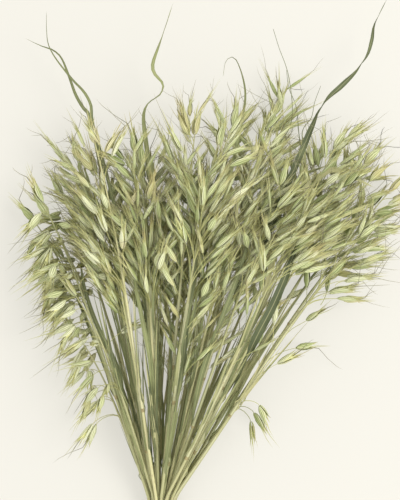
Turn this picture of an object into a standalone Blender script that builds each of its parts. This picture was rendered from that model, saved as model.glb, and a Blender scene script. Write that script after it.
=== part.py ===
"""Dried oat bundle lying on a table: culms with their panicles and leaf blades, bound with twine.

Metres, +Z up. The table is z = 0, the heads point along +Y and the cut ends along -Y.
The origin is on the table, under the middle of the binding.
"""

import math
import random
from dataclasses import dataclass, field

import bpy
import numpy as np
from mathutils import Vector

# Culms, the oat's stems
CULM_COUNT = 46
GAP = 0.0003                  # between pieces that touch on the real bundle
CULM_RADIUS = 0.0015          # in the binding
NECK_RADIUS = 0.0012          # under the panicle
RACHIS_TIP_RADIUS = 0.0009
CULM_SIDES = 4
CULM_TURN = math.radians(30)  # sets the corners so that neighbours in the packing nearly touch
FOOT_LENGTH = 0.150           # from the binding to the cut ends
FOOT_UNEVEN = 0.007
FOOT_FLARE = 1.15             # the cut ends spread by this share of their place in the binding

# The fan that the culms open into, seen from above
FAN_MIDDLE = math.radians(7)
FAN_HALF_ANGLE = math.radians(26)
FAN_OPENS_FROM = 0.004
FAN_OPENS_OVER = 0.027
# How far the tallest rachis reaches from the binding, across the fan from -1 to 1
REACH_ACROSS = (
    (-1.0, 0.300), (-0.85, 0.318), (-0.72, 0.345), (-0.6, 0.364), (-0.38, 0.334), (-0.18, 0.370),
    (0.05, 0.383), (0.28, 0.398), (0.6, 0.400), (0.87, 0.395), (1.0, 0.375),
)
SHORTEST_SHARE = 0.76
SHORTEST_AT_LEFT = 0.84
SHORTEST = 0.15
TIP_STEP = 0.005              # by which a culm is shortened where its tip would touch another
LEAN = (math.radians(11), math.radians(-6))  # with the place in the fan, and with its square
LEAN_UNEVEN = math.radians(7)
LEANS_LATE = 3.5                             # the culms bend over towards their tips

# Heights over the table
HEAD_ROW_PITCH = 0.0112       # one row of culms above the next, in the heads
RISE_LENGTH = 0.235
HEAD_FIRST_ROW = 0.0135
FOOT_ROW_SPREAD = 1.2
EDGE_DROP = 0.38              # of the rows' heights, at the fan's edges
EDGE_DROPS_FROM = 0.050
EDGE_DROPS_OVER = 0.170
TIP_DROOP = 0.30

# Panicles
# Where they start, as a share of the culm's reach, across the fan from -1 to 1
STARTS_ACROSS = (
    (-1.0, 0.64), (-0.7, 0.62), (-0.4, 0.60), (-0.1, 0.56), (0.3, 0.54), (0.6, 0.61), (1.0, 0.72),
)
START_UNEVEN = 0.045
# A few culms at the fan's edges have low panicles: (share of the reach, start) for a row and an edge
LOW_PANICLES = {
    (3, "left"): (0.62, 0.50),
    (6, "left"): (0.74, 0.54),
    (4, "right"): (0.90, 0.42),
}
WHORLS = (0.06, 0.22, 0.40, 0.56, 0.72, 0.86)  # share of the rachis
WHORL_UNEVEN = 0.03
RACHIS_KNOTS = (0.0, 0.31, 0.64, 1.0)
BRANCHES = (2, 2, 2, 1, 1, 1)           # that carry a solid spikelet
BRANCH_LENGTHS = (0.046, 0.042, 0.037, 0.030, 0.023, 0.015)
BRANCH_ROOT_RADIUS = 0.0004            # inside the rachis
BRANCH_END_RADIUS = 0.00055
SPIKELET_LENGTH = 0.027
SPIKELET_HALF_WIDTH = 0.0043
SPIKELET_HALF_DEPTH = 0.0030
BELLY_AT = 0.38                         # share of the spikelet's length
SPIKELET_SIDES = 3
LOW_SPREAD = (math.radians(14), math.radians(30))
TOP_SPREAD = (math.radians(24), math.radians(44))
NOD = (math.radians(3), math.radians(20))
HANG = math.radians(58)                 # extra spread at the fan's left edge
FLATTEN = 0.6                           # panicles are flatter than wide, lying down
PRESSED_IN = 0.0016                 # how far a spikelet may sink in before it is pressed flat on the table
TRIES = 40

# Leaf blades
BLADE_THICKNESS = 0.0008
BLADE_CLIMB = 0.022                     # along it, from its culm to the gap above its culm's row
BLADE_LEAVES = (0.009, math.radians(16))  # its first stretch, and how far that turns off the culm

# Binding
TWINE_DIAMETER = 0.0026
TWINE_TURNS = 3
TWINE_SEGMENTS = 16
BINDING_HALF = TWINE_TURNS * TWINE_DIAMETER / 2

# Base colours
SAGE = (0.36, 0.37, 0.18)
STRAW = (0.45, 0.41, 0.20)
TWINE = (0.42, 0.31, 0.17)

SEED = 90


def smooth(x):
    """0 below 0, 1 above 1, and an even S between."""
    x = min(max(x, 0.0), 1.0)
    return x * x * (3.0 - 2.0 * x)


def mix(a, b, share):
    return a + (b - a) * share


def row_rise(s):
    """0 in the binding and 1 in the heads."""
    return math.sin(math.pi / 2 * min(max(s - 0.006, 0) / RISE_LENGTH, 1))


def row_height(level, s, fan, foot=FOOT_LENGTH):
    """Height of a row of culms over the table, at distance s from the binding."""
    packing = (2 * CULM_RADIUS + GAP) * math.sqrt(3) / 2
    first_in_binding = TWINE_DIAMETER + GAP + CULM_RADIUS
    if s <= 0:
        first = mix(first_in_binding, CULM_RADIUS + GAP, smooth((-s - BINDING_HALF - 0.004) / 0.06))
        return first + level * packing * mix(1, FOOT_ROW_SPREAD, smooth(-s / foot))
    rise = row_rise(s)
    first = mix(first_in_binding, HEAD_FIRST_ROW, rise)
    drop = 1 - EDGE_DROP * fan**2 * smooth((s - EDGE_DROPS_FROM) / EDGE_DROPS_OVER)
    droop = 1 - TIP_DROOP * smooth((s - RISE_LENGTH) / 0.18) ** 2
    return (first + level * mix(packing, HEAD_ROW_PITCH, rise) * drop) * droop


@dataclass
class Culm:
    """One oat stem, as its place in the binding and its course through the fan."""

    level: int          # its row, counted from the table
    seat: float         # its x in the binding
    fan: float          # -1 at the fan's left edge and 1 at its right
    reach: float        # from the binding to the tip of its rachis
    foot: float         # from the binding to its cut end
    lean: float         # how far its bearing turns by the tip
    sway: float         # a small rise or fall among its row
    panicle_from: float
    low: bool           # its panicle starts low and hangs
    knots: list = field(default_factory=list)   # distances along it from the binding
    line: list = field(default_factory=list)    # its middle at each knot

    def bearing(self, s):
        opened = smooth((s - FAN_OPENS_FROM) / FAN_OPENS_OVER)
        leaning = self.lean * (max(s, 0) / self.reach) ** LEANS_LATE
        return (FAN_MIDDLE + FAN_HALF_ANGLE * self.fan) * opened + leaning

    def height(self, s):
        return row_height(self.level, s, self.fan, self.foot) + self.sway * row_rise(s)

    def course(self, step=0.003):
        """(distances, points): the smooth middle line, from the cut end to the tip."""
        above = np.arange(0, self.reach + step, step)
        above[-1] = self.reach
        x, y = self.seat, 0.0
        points = [Vector((x, y, self.height(0)))]
        for a, b in zip(above, above[1:]):
            bearing = self.bearing((a + b) / 2)
            x += math.sin(bearing) * (b - a)
            y += math.cos(bearing) * (b - a)
            points.append(Vector((x, y, self.height(b))))
        below = np.linspace(-self.foot, 0, 12)[:-1]
        flared = [self.seat * (1 + FOOT_FLARE * smooth(-s / self.foot)) for s in below]
        feet = [Vector((fx, s, self.height(s))) for fx, s in zip(flared, below)]
        return [*below, *above], feet + points

    def set_knots(self):
        """Keeps the few points of the course that the solid culm is built on."""
        panicle = self.reach - self.panicle_from
        self.knots = [-self.foot, -BINDING_HALF - 0.004, BINDING_HALF + 0.001, 0.020, 0.036]
        self.knots += [mix(0.036, self.panicle_from, 0.5)]
        self.knots += [self.panicle_from + panicle * share for share in RACHIS_KNOTS]
        distances, points = self.course()
        coords = [np.interp(self.knots, distances, [p[axis] for p in points]) for axis in range(3)]
        self.line = [Vector(p) for p in zip(*coords)]

    def at(self, s):
        """The point of the solid culm's middle at distance s from the binding."""
        return Vector([np.interp(s, self.knots, [p[axis] for p in self.line]) for axis in range(3)])

    def heading(self, s):
        return (self.at(s + 0.004) - self.at(s - 0.004)).normalized()

    def radius(self, s):
        neck = mix(CULM_RADIUS, NECK_RADIUS, smooth(max(s, 0) / self.panicle_from))
        along = max(s - self.panicle_from, 0) / (self.reach - self.panicle_from)
        return mix(neck, RACHIS_TIP_RADIUS, along)


def binding_rows():
    """The culms' places in the binding, as rows of a close packing: a list of x a row, lowest first."""
    pitch = 2 * CULM_RADIUS + GAP
    places = []
    for row in range(-7, 8):
        for column in range(-7, 8):
            x = (column + 0.5 * (row % 2) + 0.25) * pitch
            z = (row + 0.5) * pitch * math.sqrt(3) / 2
            places.append((round(math.hypot(x, z), 7), row, x))
    rows = {}
    for _, row, x in sorted(places)[:CULM_COUNT]:
        rows.setdefault(row, []).append(x)
    return [sorted(rows[row]) for row in sorted(rows)]


def grow_culms(rng):
    """Every culm. Within a row they keep their order across the fan, so they never cross."""
    culms = []
    for level, row in enumerate(binding_rows()):
        span = mix(0.80, 1.0, smooth(len(row) / 7))
        for place, seat in enumerate(row):
            even = (2 * (place + 0.5 + rng.uniform(-0.28, 0.28)) / len(row) - 1) * 1.08
            fan = max(-1.0, min(1.0, even * span))
            tallest = np.interp(fan, *zip(*REACH_ACROSS))
            shortest = mix(SHORTEST_SHARE, SHORTEST_AT_LEFT, smooth((-fan - 0.7) / 0.3))
            reach = float(tallest) * mix(1, shortest, rng.random())
            lean = LEAN[0] * fan + LEAN[1] * fan**2 + rng.uniform(-LEAN_UNEVEN, LEAN_UNEVEN)
            start = float(np.interp(fan, *zip(*STARTS_ACROSS))) + rng.uniform(-START_UNEVEN, START_UNEVEN)
            edge = {0: "left", len(row) - 1: "right"}.get(place)
            low = LOW_PANICLES.get((level, edge))
            if low:
                reach, start = reach * low[0], low[1]
            culms.append(
                Culm(
                    level=level,
                    seat=seat,
                    fan=fan,
                    reach=reach,
                    foot=FOOT_LENGTH + rng.uniform(-FOOT_UNEVEN, FOOT_UNEVEN),
                    lean=lean,
                    sway=rng.uniform(-0.0016, 0.0016),
                    panicle_from=reach * start,
                    low=bool(low),
                )
            )
            culms[-1].set_knots()
    return culms


class Crowd:
    """The space already taken: balls along every piece, each with the number of its culm."""

    def __init__(self):
        self.centres = np.empty((0, 3))
        self.radii = np.empty(0)
        self.owners = np.empty(0, int)
        self.stems = np.empty(0, bool)

    def add(self, balls, owner, stem=False):
        centres, radii = balls
        self.centres = np.vstack([self.centres, centres])
        self.radii = np.append(self.radii, radii)
        self.owners = np.append(self.owners, np.full(len(radii), owner))
        self.stems = np.append(self.stems, np.full(len(radii), stem))

    def clears(self, balls, owner, from_stem, from_sisters):
        """True if the balls touch no other culm's. Their own culm's stem and its other pieces, which they may
        touch at the root, count from the given balls on."""
        centres, radii = balls
        low = centres.min(0) - radii.max() - 0.006
        high = centres.max(0) + radii.max() + 0.006
        near = ((self.centres > low) & (self.centres < high)).all(1)
        theirs = near & (self.owners != owner)
        stem = near & (self.owners == owner) & self.stems
        sisters = near & (self.owners == owner) & ~self.stems
        for taken, first in ((theirs, 0), (stem, from_stem), (sisters, from_sisters)):
            apart = np.linalg.norm(centres[first:, None] - self.centres[None, taken], axis=2)
            if (apart < radii[first:, None] + self.radii[None, taken]).any():
                return False
        return True


def balls_along(start, end, radius_at, spacing):
    """(centres, radii) of balls from start to end, with radius_at(share) giving each one's size."""
    count = max(2, math.ceil((end - start).length / spacing) + 1)
    shares = np.linspace(0, 1, count)
    centres = np.array([start.lerp(end, share) for share in shares])
    return centres, np.array([radius_at(share) for share in shares])


def joined(*groups):
    return np.vstack([g[0] for g in groups]), np.concatenate([g[1] for g in groups])


def terminal_spikelet(culm):
    """(belly, tip): the spikelet that ends the rachis runs on from it."""
    heading = (culm.line[-1] - culm.line[-2]).normalized()
    nodding = (heading + Vector((0.12 * culm.fan, 0, -0.12))).normalized()
    belly = culm.line[-1] + nodding * SPIKELET_LENGTH * BELLY_AT
    return belly, culm.line[-1] + nodding * SPIKELET_LENGTH


def stem_balls(culm):
    groups = []
    for a, b, s in zip(culm.line, culm.line[1:], culm.knots):
        groups.append(balls_along(a, b, lambda share, r=culm.radius(s): r + 0.0005, 0.0025))
    return joined(*groups)


def tip_balls(culm):
    belly, tip = terminal_spikelet(culm)
    swelling = balls_along(culm.line[-1], belly, lambda share: SPIKELET_HALF_WIDTH * share + 0.0006, 0.0025)
    tapering = balls_along(belly, tip, lambda share: SPIKELET_HALF_WIDTH * (1 - share) + 0.0006, 0.0025)
    return joined(swelling, tapering)


def part_tips(culms):
    """Shortens each culm until its terminal spikelet lies clear of the other culms."""
    moved = True
    while moved:
        moved = False
        for number, culm in enumerate(culms):
            others = Crowd()
            for other_number, other in enumerate(culms):
                if other is not culm:
                    others.add(stem_balls(other), other_number)
                    others.add(tip_balls(other), other_number)
            while culm.reach > SHORTEST and not others.clears(tip_balls(culm), number, 0, 0):
                culm.reach -= TIP_STEP
                culm.panicle_from -= TIP_STEP / 2
                culm.set_knots()
                moved = True


@dataclass
class Spikelet:
    """A branch of the panicle and the spikelet on its end."""

    root: Vector
    joint: Vector
    tip: Vector
    face: Vector   # the way the spikelet's flat side looks

    def branch_balls(self):
        return balls_along(self.root, self.joint, lambda share: BRANCH_END_RADIUS + 0.0007, 0.0022)

    def balls(self):
        """The space that it takes, a little more than its solid."""

        def belly(share):
            full = share / BELLY_AT if share < BELLY_AT else (1 - share) / (1 - BELLY_AT)
            return BRANCH_END_RADIUS + 0.0003 + (SPIKELET_HALF_WIDTH - BRANCH_END_RADIUS) * full

        return joined(self.branch_balls(), balls_along(self.joint, self.tip, belly, 0.0028))


def side_and_up(heading):
    """Two directions square to a heading: level, and as near upright as can be."""
    side = heading.cross(Vector((0, 0, 1))).normalized()
    return side, side.cross(heading).normalized()


def hang_of(culm, whorl):
    """How far a whorl's branches hang outwards: fully at the left edge and on low panicles' first whorl."""
    if culm.low and whorl == 0:
        return 1.0
    left = smooth((-culm.fan - 0.6) / 0.4)
    right = 0.3 * smooth((culm.fan - 0.8) / 0.2) * (whorl == 0)
    return max(left, right)


def draw_spikelet(culm, whorl, rng, length_share):
    """One random branch of a whorl, with its spikelet."""
    panicle = culm.reach - culm.panicle_from
    s = culm.panicle_from + panicle * (WHORLS[whorl] + rng.uniform(-WHORL_UNEVEN, WHORL_UNEVEN))
    heading = culm.heading(s)
    side, up = side_and_up(heading)
    hang = hang_of(culm, whorl)
    outward = -1 if culm.fan < 0 else 1
    turn = rng.uniform(0, 2 * math.pi)
    across = math.cos(turn)
    if rng.random() < 0.35 + 0.6 * hang:
        across = outward * abs(across)
    around = (side * across + up * math.sin(turn) * FLATTEN).normalized()
    up_rachis = whorl / (len(WHORLS) - 1)
    least, most = (mix(low, top, up_rachis) for low, top in zip(LOW_SPREAD, TOP_SPREAD))
    spread = rng.uniform(least, most) + HANG * hang * rng.uniform(0.5, 1.0)
    length = BRANCH_LENGTHS[whorl] * rng.uniform(0.7, 1.15) * length_share * mix(1, 0.55, hang)
    aim = heading * math.cos(spread) + around * math.sin(spread)
    root = culm.at(s)
    joint = root + aim * length
    nod = spread + rng.uniform(*NOD) + 0.6 * HANG * hang
    sag = Vector((0, 0, -rng.uniform(0.0, 0.25)))
    spikelet_aim = (heading * math.cos(nod) + around * math.sin(nod) + sag).normalized()
    face = (up + side * rng.uniform(-1, 1)).normalized()
    return Spikelet(root, joint, joint + spikelet_aim * SPIKELET_LENGTH * rng.uniform(0.85, 1.1), face)


def grow_panicles(culms, crowd, rng):
    """Each culm's spikelets. A branch is drawn again until it lies clear of all that is there."""
    panicles = [[] for _ in culms]
    for whorl in reversed(range(len(WHORLS))):
        for number, culm in enumerate(culms):
            for _ in range(BRANCHES[whorl]):
                for attempt in range(TRIES):
                    drawn = draw_spikelet(culm, whorl, rng, mix(1, 0.7, attempt / TRIES))
                    balls = drawn.balls()
                    dips = (balls[1] - balls[0][:, 2]).max()
                    from_spikelet = len(drawn.branch_balls()[1])
                    if dips > PRESSED_IN or min(drawn.joint.z, drawn.tip.z) < 0.0008:
                        continue
                    if crowd.clears(balls, number, from_spikelet, from_sisters=3):
                        crowd.add(balls, number)
                        panicles[number].append(drawn)
                        break
    return panicles


@dataclass
class Blade:
    """A leaf blade: the culm that it leaves, how far up, and the way that it takes, as (x, y) from above."""

    fan: float
    level: int
    start: float
    width: float
    way: tuple
    twist: float = 0.0   # of its outer half, in degrees
    lift: float = 0.0    # of its tip

    def half_width(self, share):
        """Narrow where it leaves the culm, full a quarter along, and a narrow tip."""
        return self.width / 2 * (0.3 + 0.7 * smooth(share / 0.25)) * (1 - share**5) ** 0.8


BLADES = (
    # The two that curve out at the top left and cross each other
    Blade(
        -0.62, 3, 0.183, 0.0036,
        ((-0.044, 0.253), (-0.055, 0.313), (-0.067, 0.370), (-0.075, 0.383), (-0.082, 0.396), (-0.088, 0.413),
         (-0.095, 0.429), (-0.103, 0.436), (-0.112, 0.439), (-0.125, 0.445)),
    ),
    Blade(
        -0.42, 5, 0.193, 0.0030,
        ((-0.034, 0.253), (-0.049, 0.313), (-0.064, 0.365), (-0.066, 0.382), (-0.072, 0.394), (-0.083, 0.406),
         (-0.096, 0.422), (-0.105, 0.437), (-0.107, 0.451), (-0.107, 0.465)),
    ),
    # The curled one and the hooked one at the top
    Blade(
        -0.18, 4, 0.203, 0.0042,
        ((0.000, 0.253), (-0.008, 0.313), (-0.015, 0.375), (0.000, 0.393), (0.002, 0.403),
         (-0.006, 0.413), (-0.007, 0.423), (0.002, 0.449), (0.010, 0.473)),
        twist=250,
    ),
    Blade(
        0.14, 5, 0.213, 0.0028,
        ((0.051, 0.268), (0.064, 0.323), (0.074, 0.370), (0.077, 0.391), (0.075, 0.406),
         (0.070, 0.421), (0.065, 0.426), (0.059, 0.422), (0.057, 0.411)),
    ),
    # The long one at the top right
    Blade(
        0.45, 4, 0.213, 0.0056,
        ((0.091, 0.253), (0.112, 0.303), (0.138, 0.363), (0.150, 0.386), (0.164, 0.400), (0.178, 0.415),
         (0.188, 0.429), (0.193, 0.443), (0.196, 0.458), (0.206, 0.479)),
        twist=120,
    ),
    # The bent one and the dark one on the right
    Blade(
        0.60, 5, 0.223, 0.0060,
        ((0.106, 0.258), (0.125, 0.299), (0.149, 0.321), (0.162, 0.323), (0.178, 0.316), (0.194, 0.309)),
        lift=-0.004,
    ),
    Blade(0.70, 6, 0.163, 0.0076,
          ((0.088, 0.177), (0.100, 0.200), (0.110, 0.223), (0.119, 0.247), (0.123, 0.259))),
    # Lower blades, along the culms
    Blade(-0.05, 6, 0.088, 0.0042,
          ((0.018, 0.143), (0.023, 0.193), (0.030, 0.238), (0.036, 0.268)), lift=0.004),
    Blade(0.30, 6, 0.093, 0.0044,
          ((0.038, 0.143), (0.056, 0.193), (0.072, 0.238), (0.081, 0.273)), lift=0.004),
    Blade(-0.45, 6, 0.098, 0.0040, ((-0.008, 0.148), (-0.016, 0.193), (-0.022, 0.228), (-0.022, 0.258))),
    Blade(-0.85, 4, 0.108, 0.0040, ((-0.039, 0.143), (-0.059, 0.185), (-0.070, 0.219), (-0.073, 0.243))),
)


def blade_points(blade, culm, lifted, pushed):
    """The blade's middle from inside its culm to its tip. It leaves to the side that it goes on to, and
    runs in the gap above its row of culms, lifted and pushed sideways by the given amounts."""
    start = culm.at(blade.start)
    first, turn = BLADE_LEAVES
    onward = math.atan2(blade.way[0][0] - start.x, blade.way[0][1] - start.y)
    off = culm.bearing(blade.start) + math.copysign(turn, onward - culm.bearing(blade.start))
    plan = [(start.x, start.y), (start.x + first * math.sin(off), start.y + first * math.cos(off))]
    plan += [(x + pushed, y) for x, y in blade.way]
    steps = [math.dist(a, b) for a, b in zip(plan, plan[1:])]
    points = [start.copy()]
    for index, (x, y) in enumerate(plan[1:]):
        along = sum(steps[: index + 1])
        fan = (math.atan2(x, y) - FAN_MIDDLE) / FAN_HALF_ANGLE
        gap = row_height(blade.level + 0.5, math.hypot(x, y), max(-1, min(1, fan))) + lifted
        height = mix(start.z, gap, smooth(along / BLADE_CLIMB))
        points.append(Vector((x, y, height + blade.lift * (along / sum(steps)) ** 2)))
    return points


def blade_widths(blade, points):
    steps = [0] + [(b - a).length for a, b in zip(points, points[1:])]
    return [max(0.0005, blade.half_width(t)) for t in np.cumsum(steps) / sum(steps)]


def blade_sections(blade, points):
    """(across, through) at each point: the ways that the blade's width and thickness lie."""
    sections = []
    for index in range(len(points)):
        before, after = points[max(index - 1, 0)], points[min(index + 1, len(points) - 1)]
        side, up = side_and_up((after - before).normalized())
        twist = math.radians(blade.twist) * smooth(2 * index / (len(points) - 1) - 1)
        across = side * math.cos(twist) + up * math.sin(twist)
        sections.append((across, up * math.cos(twist) - side * math.sin(twist)))
    return sections


def blade_balls(blade, points):
    widths = blade_widths(blade, points)
    sections = blade_sections(blade, points)
    groups = []
    for index in range(len(points) - 1):
        for shift in (-0.8, -0.4, 0, 0.4, 0.8):
            start = points[index] + sections[index][0] * widths[index] * shift
            end = points[index + 1] + sections[index + 1][0] * widths[index + 1] * shift
            radius = 0.2 * max(widths[index : index + 2]) + 0.0007
            groups.append(balls_along(start, end, lambda share, r=radius: r, 0.0025))
    return joined(*groups)


def grow_blades(culms, crowd, rng):
    """(number of its culm, blade, points) for each blade that finds a clear way through the culms."""
    grown = []
    taken = set()
    for blade in BLADES:
        free = [n for n in range(len(culms)) if n not in taken]
        free.sort(key=lambda n: abs(culms[n].fan - blade.fan) * 5 + abs(culms[n].level - blade.level))
        for attempt in range(TRIES * 8):
            number = free[attempt // (TRIES * 2)]
            ease = attempt % (TRIES * 2) / (TRIES * 2)
            lifted, pushed = rng.uniform(-0.002, 0.002) * ease, rng.uniform(-0.006, 0.006) * ease
            points = blade_points(blade, culms[number], lifted, pushed)
            balls = blade_balls(blade, points)
            count = len(balls[1])
            clear = crowd.clears(balls, number, from_stem=count, from_sisters=count)
            if clear and balls[0][:, 2].min() > 0.002:
                crowd.add(balls, number)
                grown.append((number, blade, points))
                taken.add(number)
                break
    return grown


def swept(points, sizes, sides, turn=0.0, across=None):
    """(vertices, triangles) of a closed solid along points. sizes holds a half width and half depth for
    each point, where a last size of None is a sharp tip. The section's width starts out level, or along
    across, and is carried along without twisting. turn is the angle of its first corner."""
    vertices, faces, rings = [], [], []
    for index, point in enumerate(points):
        if sizes[index] is None:
            rings.append([len(vertices)])
            vertices.append(point)
            continue
        before, after = points[max(index - 1, 0)], points[min(index + 1, len(points) - 1)]
        heading = (after - before).normalized()
        across = across or side_and_up(heading)[0]
        across = (across - heading * across.dot(heading)).normalized()
        upright = across.cross(heading)
        ring = []
        for corner in range(sides):
            angle = turn + 2 * math.pi * corner / sides
            ring.append(len(vertices))
            half_width, half_depth = sizes[index]
            spoke = across * half_width * math.cos(angle) + upright * half_depth * math.sin(angle)
            vertices.append(point + spoke)
        rings.append(ring)
    for ring, following in zip(rings, rings[1:]):
        for corner in range(sides):
            a, b = ring[(corner + 1) % sides], ring[corner]
            if len(following) == 1:
                faces.append((a, b, following[0]))
                continue
            d, c = following[(corner + 1) % sides], following[corner]
            # The two broad faces of a blade are split along like diagonals.
            faces += [(a, b, c), (a, c, d)] if corner < sides / 2 else [(a, b, d), (b, c, d)]
    faces += [(rings[0][0], rings[0][n], rings[0][n + 1]) for n in range(1, sides - 1)]
    if len(rings[-1]) > 1:
        faces += [(rings[-1][0], rings[-1][n + 1], rings[-1][n]) for n in range(1, sides - 1)]
    return vertices, faces


def culm_solid(culm):
    """The culm from its cut end to its rachis, and the terminal spikelet."""
    sizes = [(culm.radius(s), culm.radius(s)) for s in culm.knots]
    sizes += [(SPIKELET_HALF_WIDTH, SPIKELET_HALF_DEPTH), None]
    points = [*culm.line, *terminal_spikelet(culm)]
    return swept(points, sizes, CULM_SIDES, CULM_TURN)


def spikelet_solid(spikelet):
    """Branch and spikelet in one: a thin stalk that swells to a flattened belly and ends in a point."""
    belly = spikelet.joint.lerp(spikelet.tip, BELLY_AT)
    points = [spikelet.root, spikelet.joint, belly, spikelet.tip]
    sizes = [(BRANCH_ROOT_RADIUS,) * 2, (BRANCH_END_RADIUS,) * 2]
    sizes += [(SPIKELET_HALF_WIDTH, SPIKELET_HALF_DEPTH), None]
    across = spikelet.face.cross(spikelet.joint - spikelet.root).normalized()
    vertices, faces = swept(points, sizes, SPIKELET_SIDES, across=across)
    return [pressed(v) for v in vertices], faces


def blade_solid(blade, points):
    """A strip of even thickness, its broad faces split into triangles alike."""
    widths = blade_widths(blade, points)
    vertices, faces = swept(points, [(1, 1)] * len(points), 4)
    for index, (across, through) in enumerate(blade_sections(blade, points)):
        for corner, (side, face) in enumerate(((1, -1), (1, 1), (-1, 1), (-1, -1))):
            edge = across * widths[index] * side + through * BLADE_THICKNESS / 2 * face
            vertices[index * 4 + corner] = points[index] + edge
    return vertices, faces


def pressed(point):
    """What would sink into the table is pressed flat on it."""
    return Vector((point.x, point.y, max(point.z, 0.0)))


def binding_middle(culms):
    """Height of the bundle's middle in the binding."""
    heights = [culm.height(0) for culm in culms]
    return (min(heights) + max(heights)) / 2


def binding_flat(culms, angle):
    """Distance from the bundle's middle to a flat of the tight loop round all the culms, at an angle."""
    middle = binding_middle(culms)
    furthest = max(c.seat * math.cos(angle) + (c.height(0) - middle) * math.sin(angle) for c in culms)
    return furthest + CULM_RADIUS + GAP


def binding_corner(culms, segment, out):
    """(x, z) of the corner where two flats of the loop meet, moved out from the culms."""
    turn = 2 * math.pi / TWINE_SEGMENTS
    before, after = segment * turn, (segment + 1) * turn
    to_before, to_after = (binding_flat(culms, angle) + out for angle in (before, after))
    x = (to_before * math.sin(after) - to_after * math.sin(before)) / math.sin(turn)
    z = (to_after * math.cos(before) - to_before * math.cos(after)) / math.sin(turn)
    return x, z + binding_middle(culms)


def binding_band(culms):
    """The turns of twine side by side, as one ridged band round the bundle."""
    profile = [(-BINDING_HALF, 0.0), (BINDING_HALF, 0.0)]
    for turn in range(TWINE_TURNS - 1, -1, -1):
        start = -BINDING_HALF + turn * TWINE_DIAMETER
        profile += [(start + TWINE_DIAMETER * at, TWINE_DIAMETER * 1.05) for at in (0.75, 0.25)]
        if turn:
            profile.append((start, TWINE_DIAMETER * 0.72))
    vertices, faces = [], []
    for segment in range(TWINE_SEGMENTS):
        for y, out in profile:
            x, z = binding_corner(culms, segment, out)
            vertices.append(pressed(Vector((x, y, z))))
    count = len(profile)
    for segment in range(TWINE_SEGMENTS):
        here, there = segment * count, (segment + 1) % TWINE_SEGMENTS * count
        for n in range(count):
            following = (n + 1) % count
            faces.append((here + following, here + n, there + following))
            faces.append((there + following, here + n, there + n))
    return vertices, faces


def binding_knot(culms):
    """The overhand knot on top of the band, and its two cut tails."""
    top = binding_middle(culms) + binding_flat(culms, math.pi / 2) + TWINE_DIAMETER
    centre = Vector((0, 0, top + 0.0012))
    lump = [centre + Vector((x, 0.0008 * x / 0.006, 0)) for x in (-0.0052, -0.0022, 0.0026, 0.0055)]
    sizes = [(0.0016, 0.0012), (0.0036, 0.0024), (0.0034, 0.0026), (0.0015, 0.0011)]
    solids = [swept(lump, sizes, 6)]
    half = TWINE_DIAMETER / 2
    for way in (-1, 1):
        tail = [
            centre,
            centre + Vector((way * 0.0080, way * 0.002, 0.0012)),
            centre + Vector((way * 0.0165, way * 0.006, -0.0016)),
            centre + Vector((way * 0.0215, way * 0.011, -0.0075)),
            centre + Vector((way * 0.0240, way * 0.015, -0.0150)),
        ]
        solids.append(swept(tail, [(half, half)] * 5, 4))
    return solids


def plain_material(name, colour, roughness):
    material = bpy.data.materials.new(name)
    material.use_nodes = True
    shader = material.node_tree.nodes["Principled BSDF"]
    shader.inputs["Base Color"].default_value = (*colour, 1.0)
    shader.inputs["Roughness"].default_value = roughness
    shader.inputs["Metallic"].default_value = 0.0
    return material


def mesh_object(name, solid, collection):
    vertices, faces = solid
    mesh = bpy.data.meshes.new(name)
    mesh.from_pydata(vertices, [], faces)
    mesh.validate()
    made = bpy.data.objects.new(name, mesh)
    collection.objects.link(made)
    return made


def fused(name, first, others, material):
    """One object: the first solid with the others joined to it by a Boolean union, which is applied."""
    scene = bpy.context.scene.collection
    body = mesh_object(name, first, scene)
    group = bpy.data.collections.new(name + "_repeats")
    scene.children.link(group)
    for index, solid in enumerate(others):
        mesh_object(f"{name}_{index}", solid, group)
    join = body.modifiers.new("join", "BOOLEAN")
    join.operation = "UNION"
    join.operand_type = "COLLECTION"
    join.collection = group
    bpy.context.view_layer.update()
    evaluated = body.evaluated_get(bpy.context.evaluated_depsgraph_get())
    mesh = bpy.data.meshes.new_from_object(evaluated)
    body.modifiers.clear()
    body.data = mesh
    for repeat in list(group.objects):
        bpy.data.objects.remove(repeat)
    bpy.data.collections.remove(group)
    body.data.materials.clear()
    body.data.materials.append(material)
    body.data.shade_smooth()
    body.data.set_sharp_from_angle(angle=math.radians(40))
    return body


def clear_scene():
    for old in list(bpy.data.objects):
        bpy.data.objects.remove(old)


def lay_out():
    """Every culm, blade and spikelet of the bundle, from one seeded draw."""
    rng = random.Random(SEED)
    culms = grow_culms(rng)
    part_tips(culms)
    crowd = Crowd()
    for number, culm in enumerate(culms):
        crowd.add(stem_balls(culm), number, stem=True)
        crowd.add(tip_balls(culm), number)
    blades = grow_blades(culms, crowd, rng)
    panicles = grow_panicles(culms, crowd, rng)
    return culms, blades, panicles


def main():
    clear_scene()
    culms, blades, panicles = lay_out()
    sage = plain_material("oat_sage", SAGE, 0.75)
    straw = plain_material("oat_straw", STRAW, 0.75)
    twine = plain_material("twine", TWINE, 0.9)
    for number, culm in enumerate(culms):
        repeats = [spikelet_solid(spikelet) for spikelet in panicles[number]]
        repeats += [blade_solid(blade, points) for owner, blade, points in blades if owner == number]
        fused(f"oat_{number + 1:02d}", culm_solid(culm), repeats, straw if number % 5 == 2 else sage)
    fused("binding", binding_band(culms), binding_knot(culms), twine)


main()
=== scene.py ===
# %% [markdown]
# # A bundle of dried oats, bound with twine
#
# This lesson dresses a plain solid model of a bundle of dried oats. The solids give every stem, spikelet
# and leaf blade its place. Here each stem is drawn again with what the eye looks for: papery glumes that
# gape in a narrow V, bent awns as thin as hair, ribbed culms with dark joints, and twisted twine.
#
# They are never moved: every piece made below stands for one of them, so it has to lie where that one lies.
# The box round the solids is kept: the spikelets made below are drawn to keep within it, or to stand out of
# it only a little.

# %% Load the solids
import math
import random
from dataclasses import dataclass, field

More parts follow.
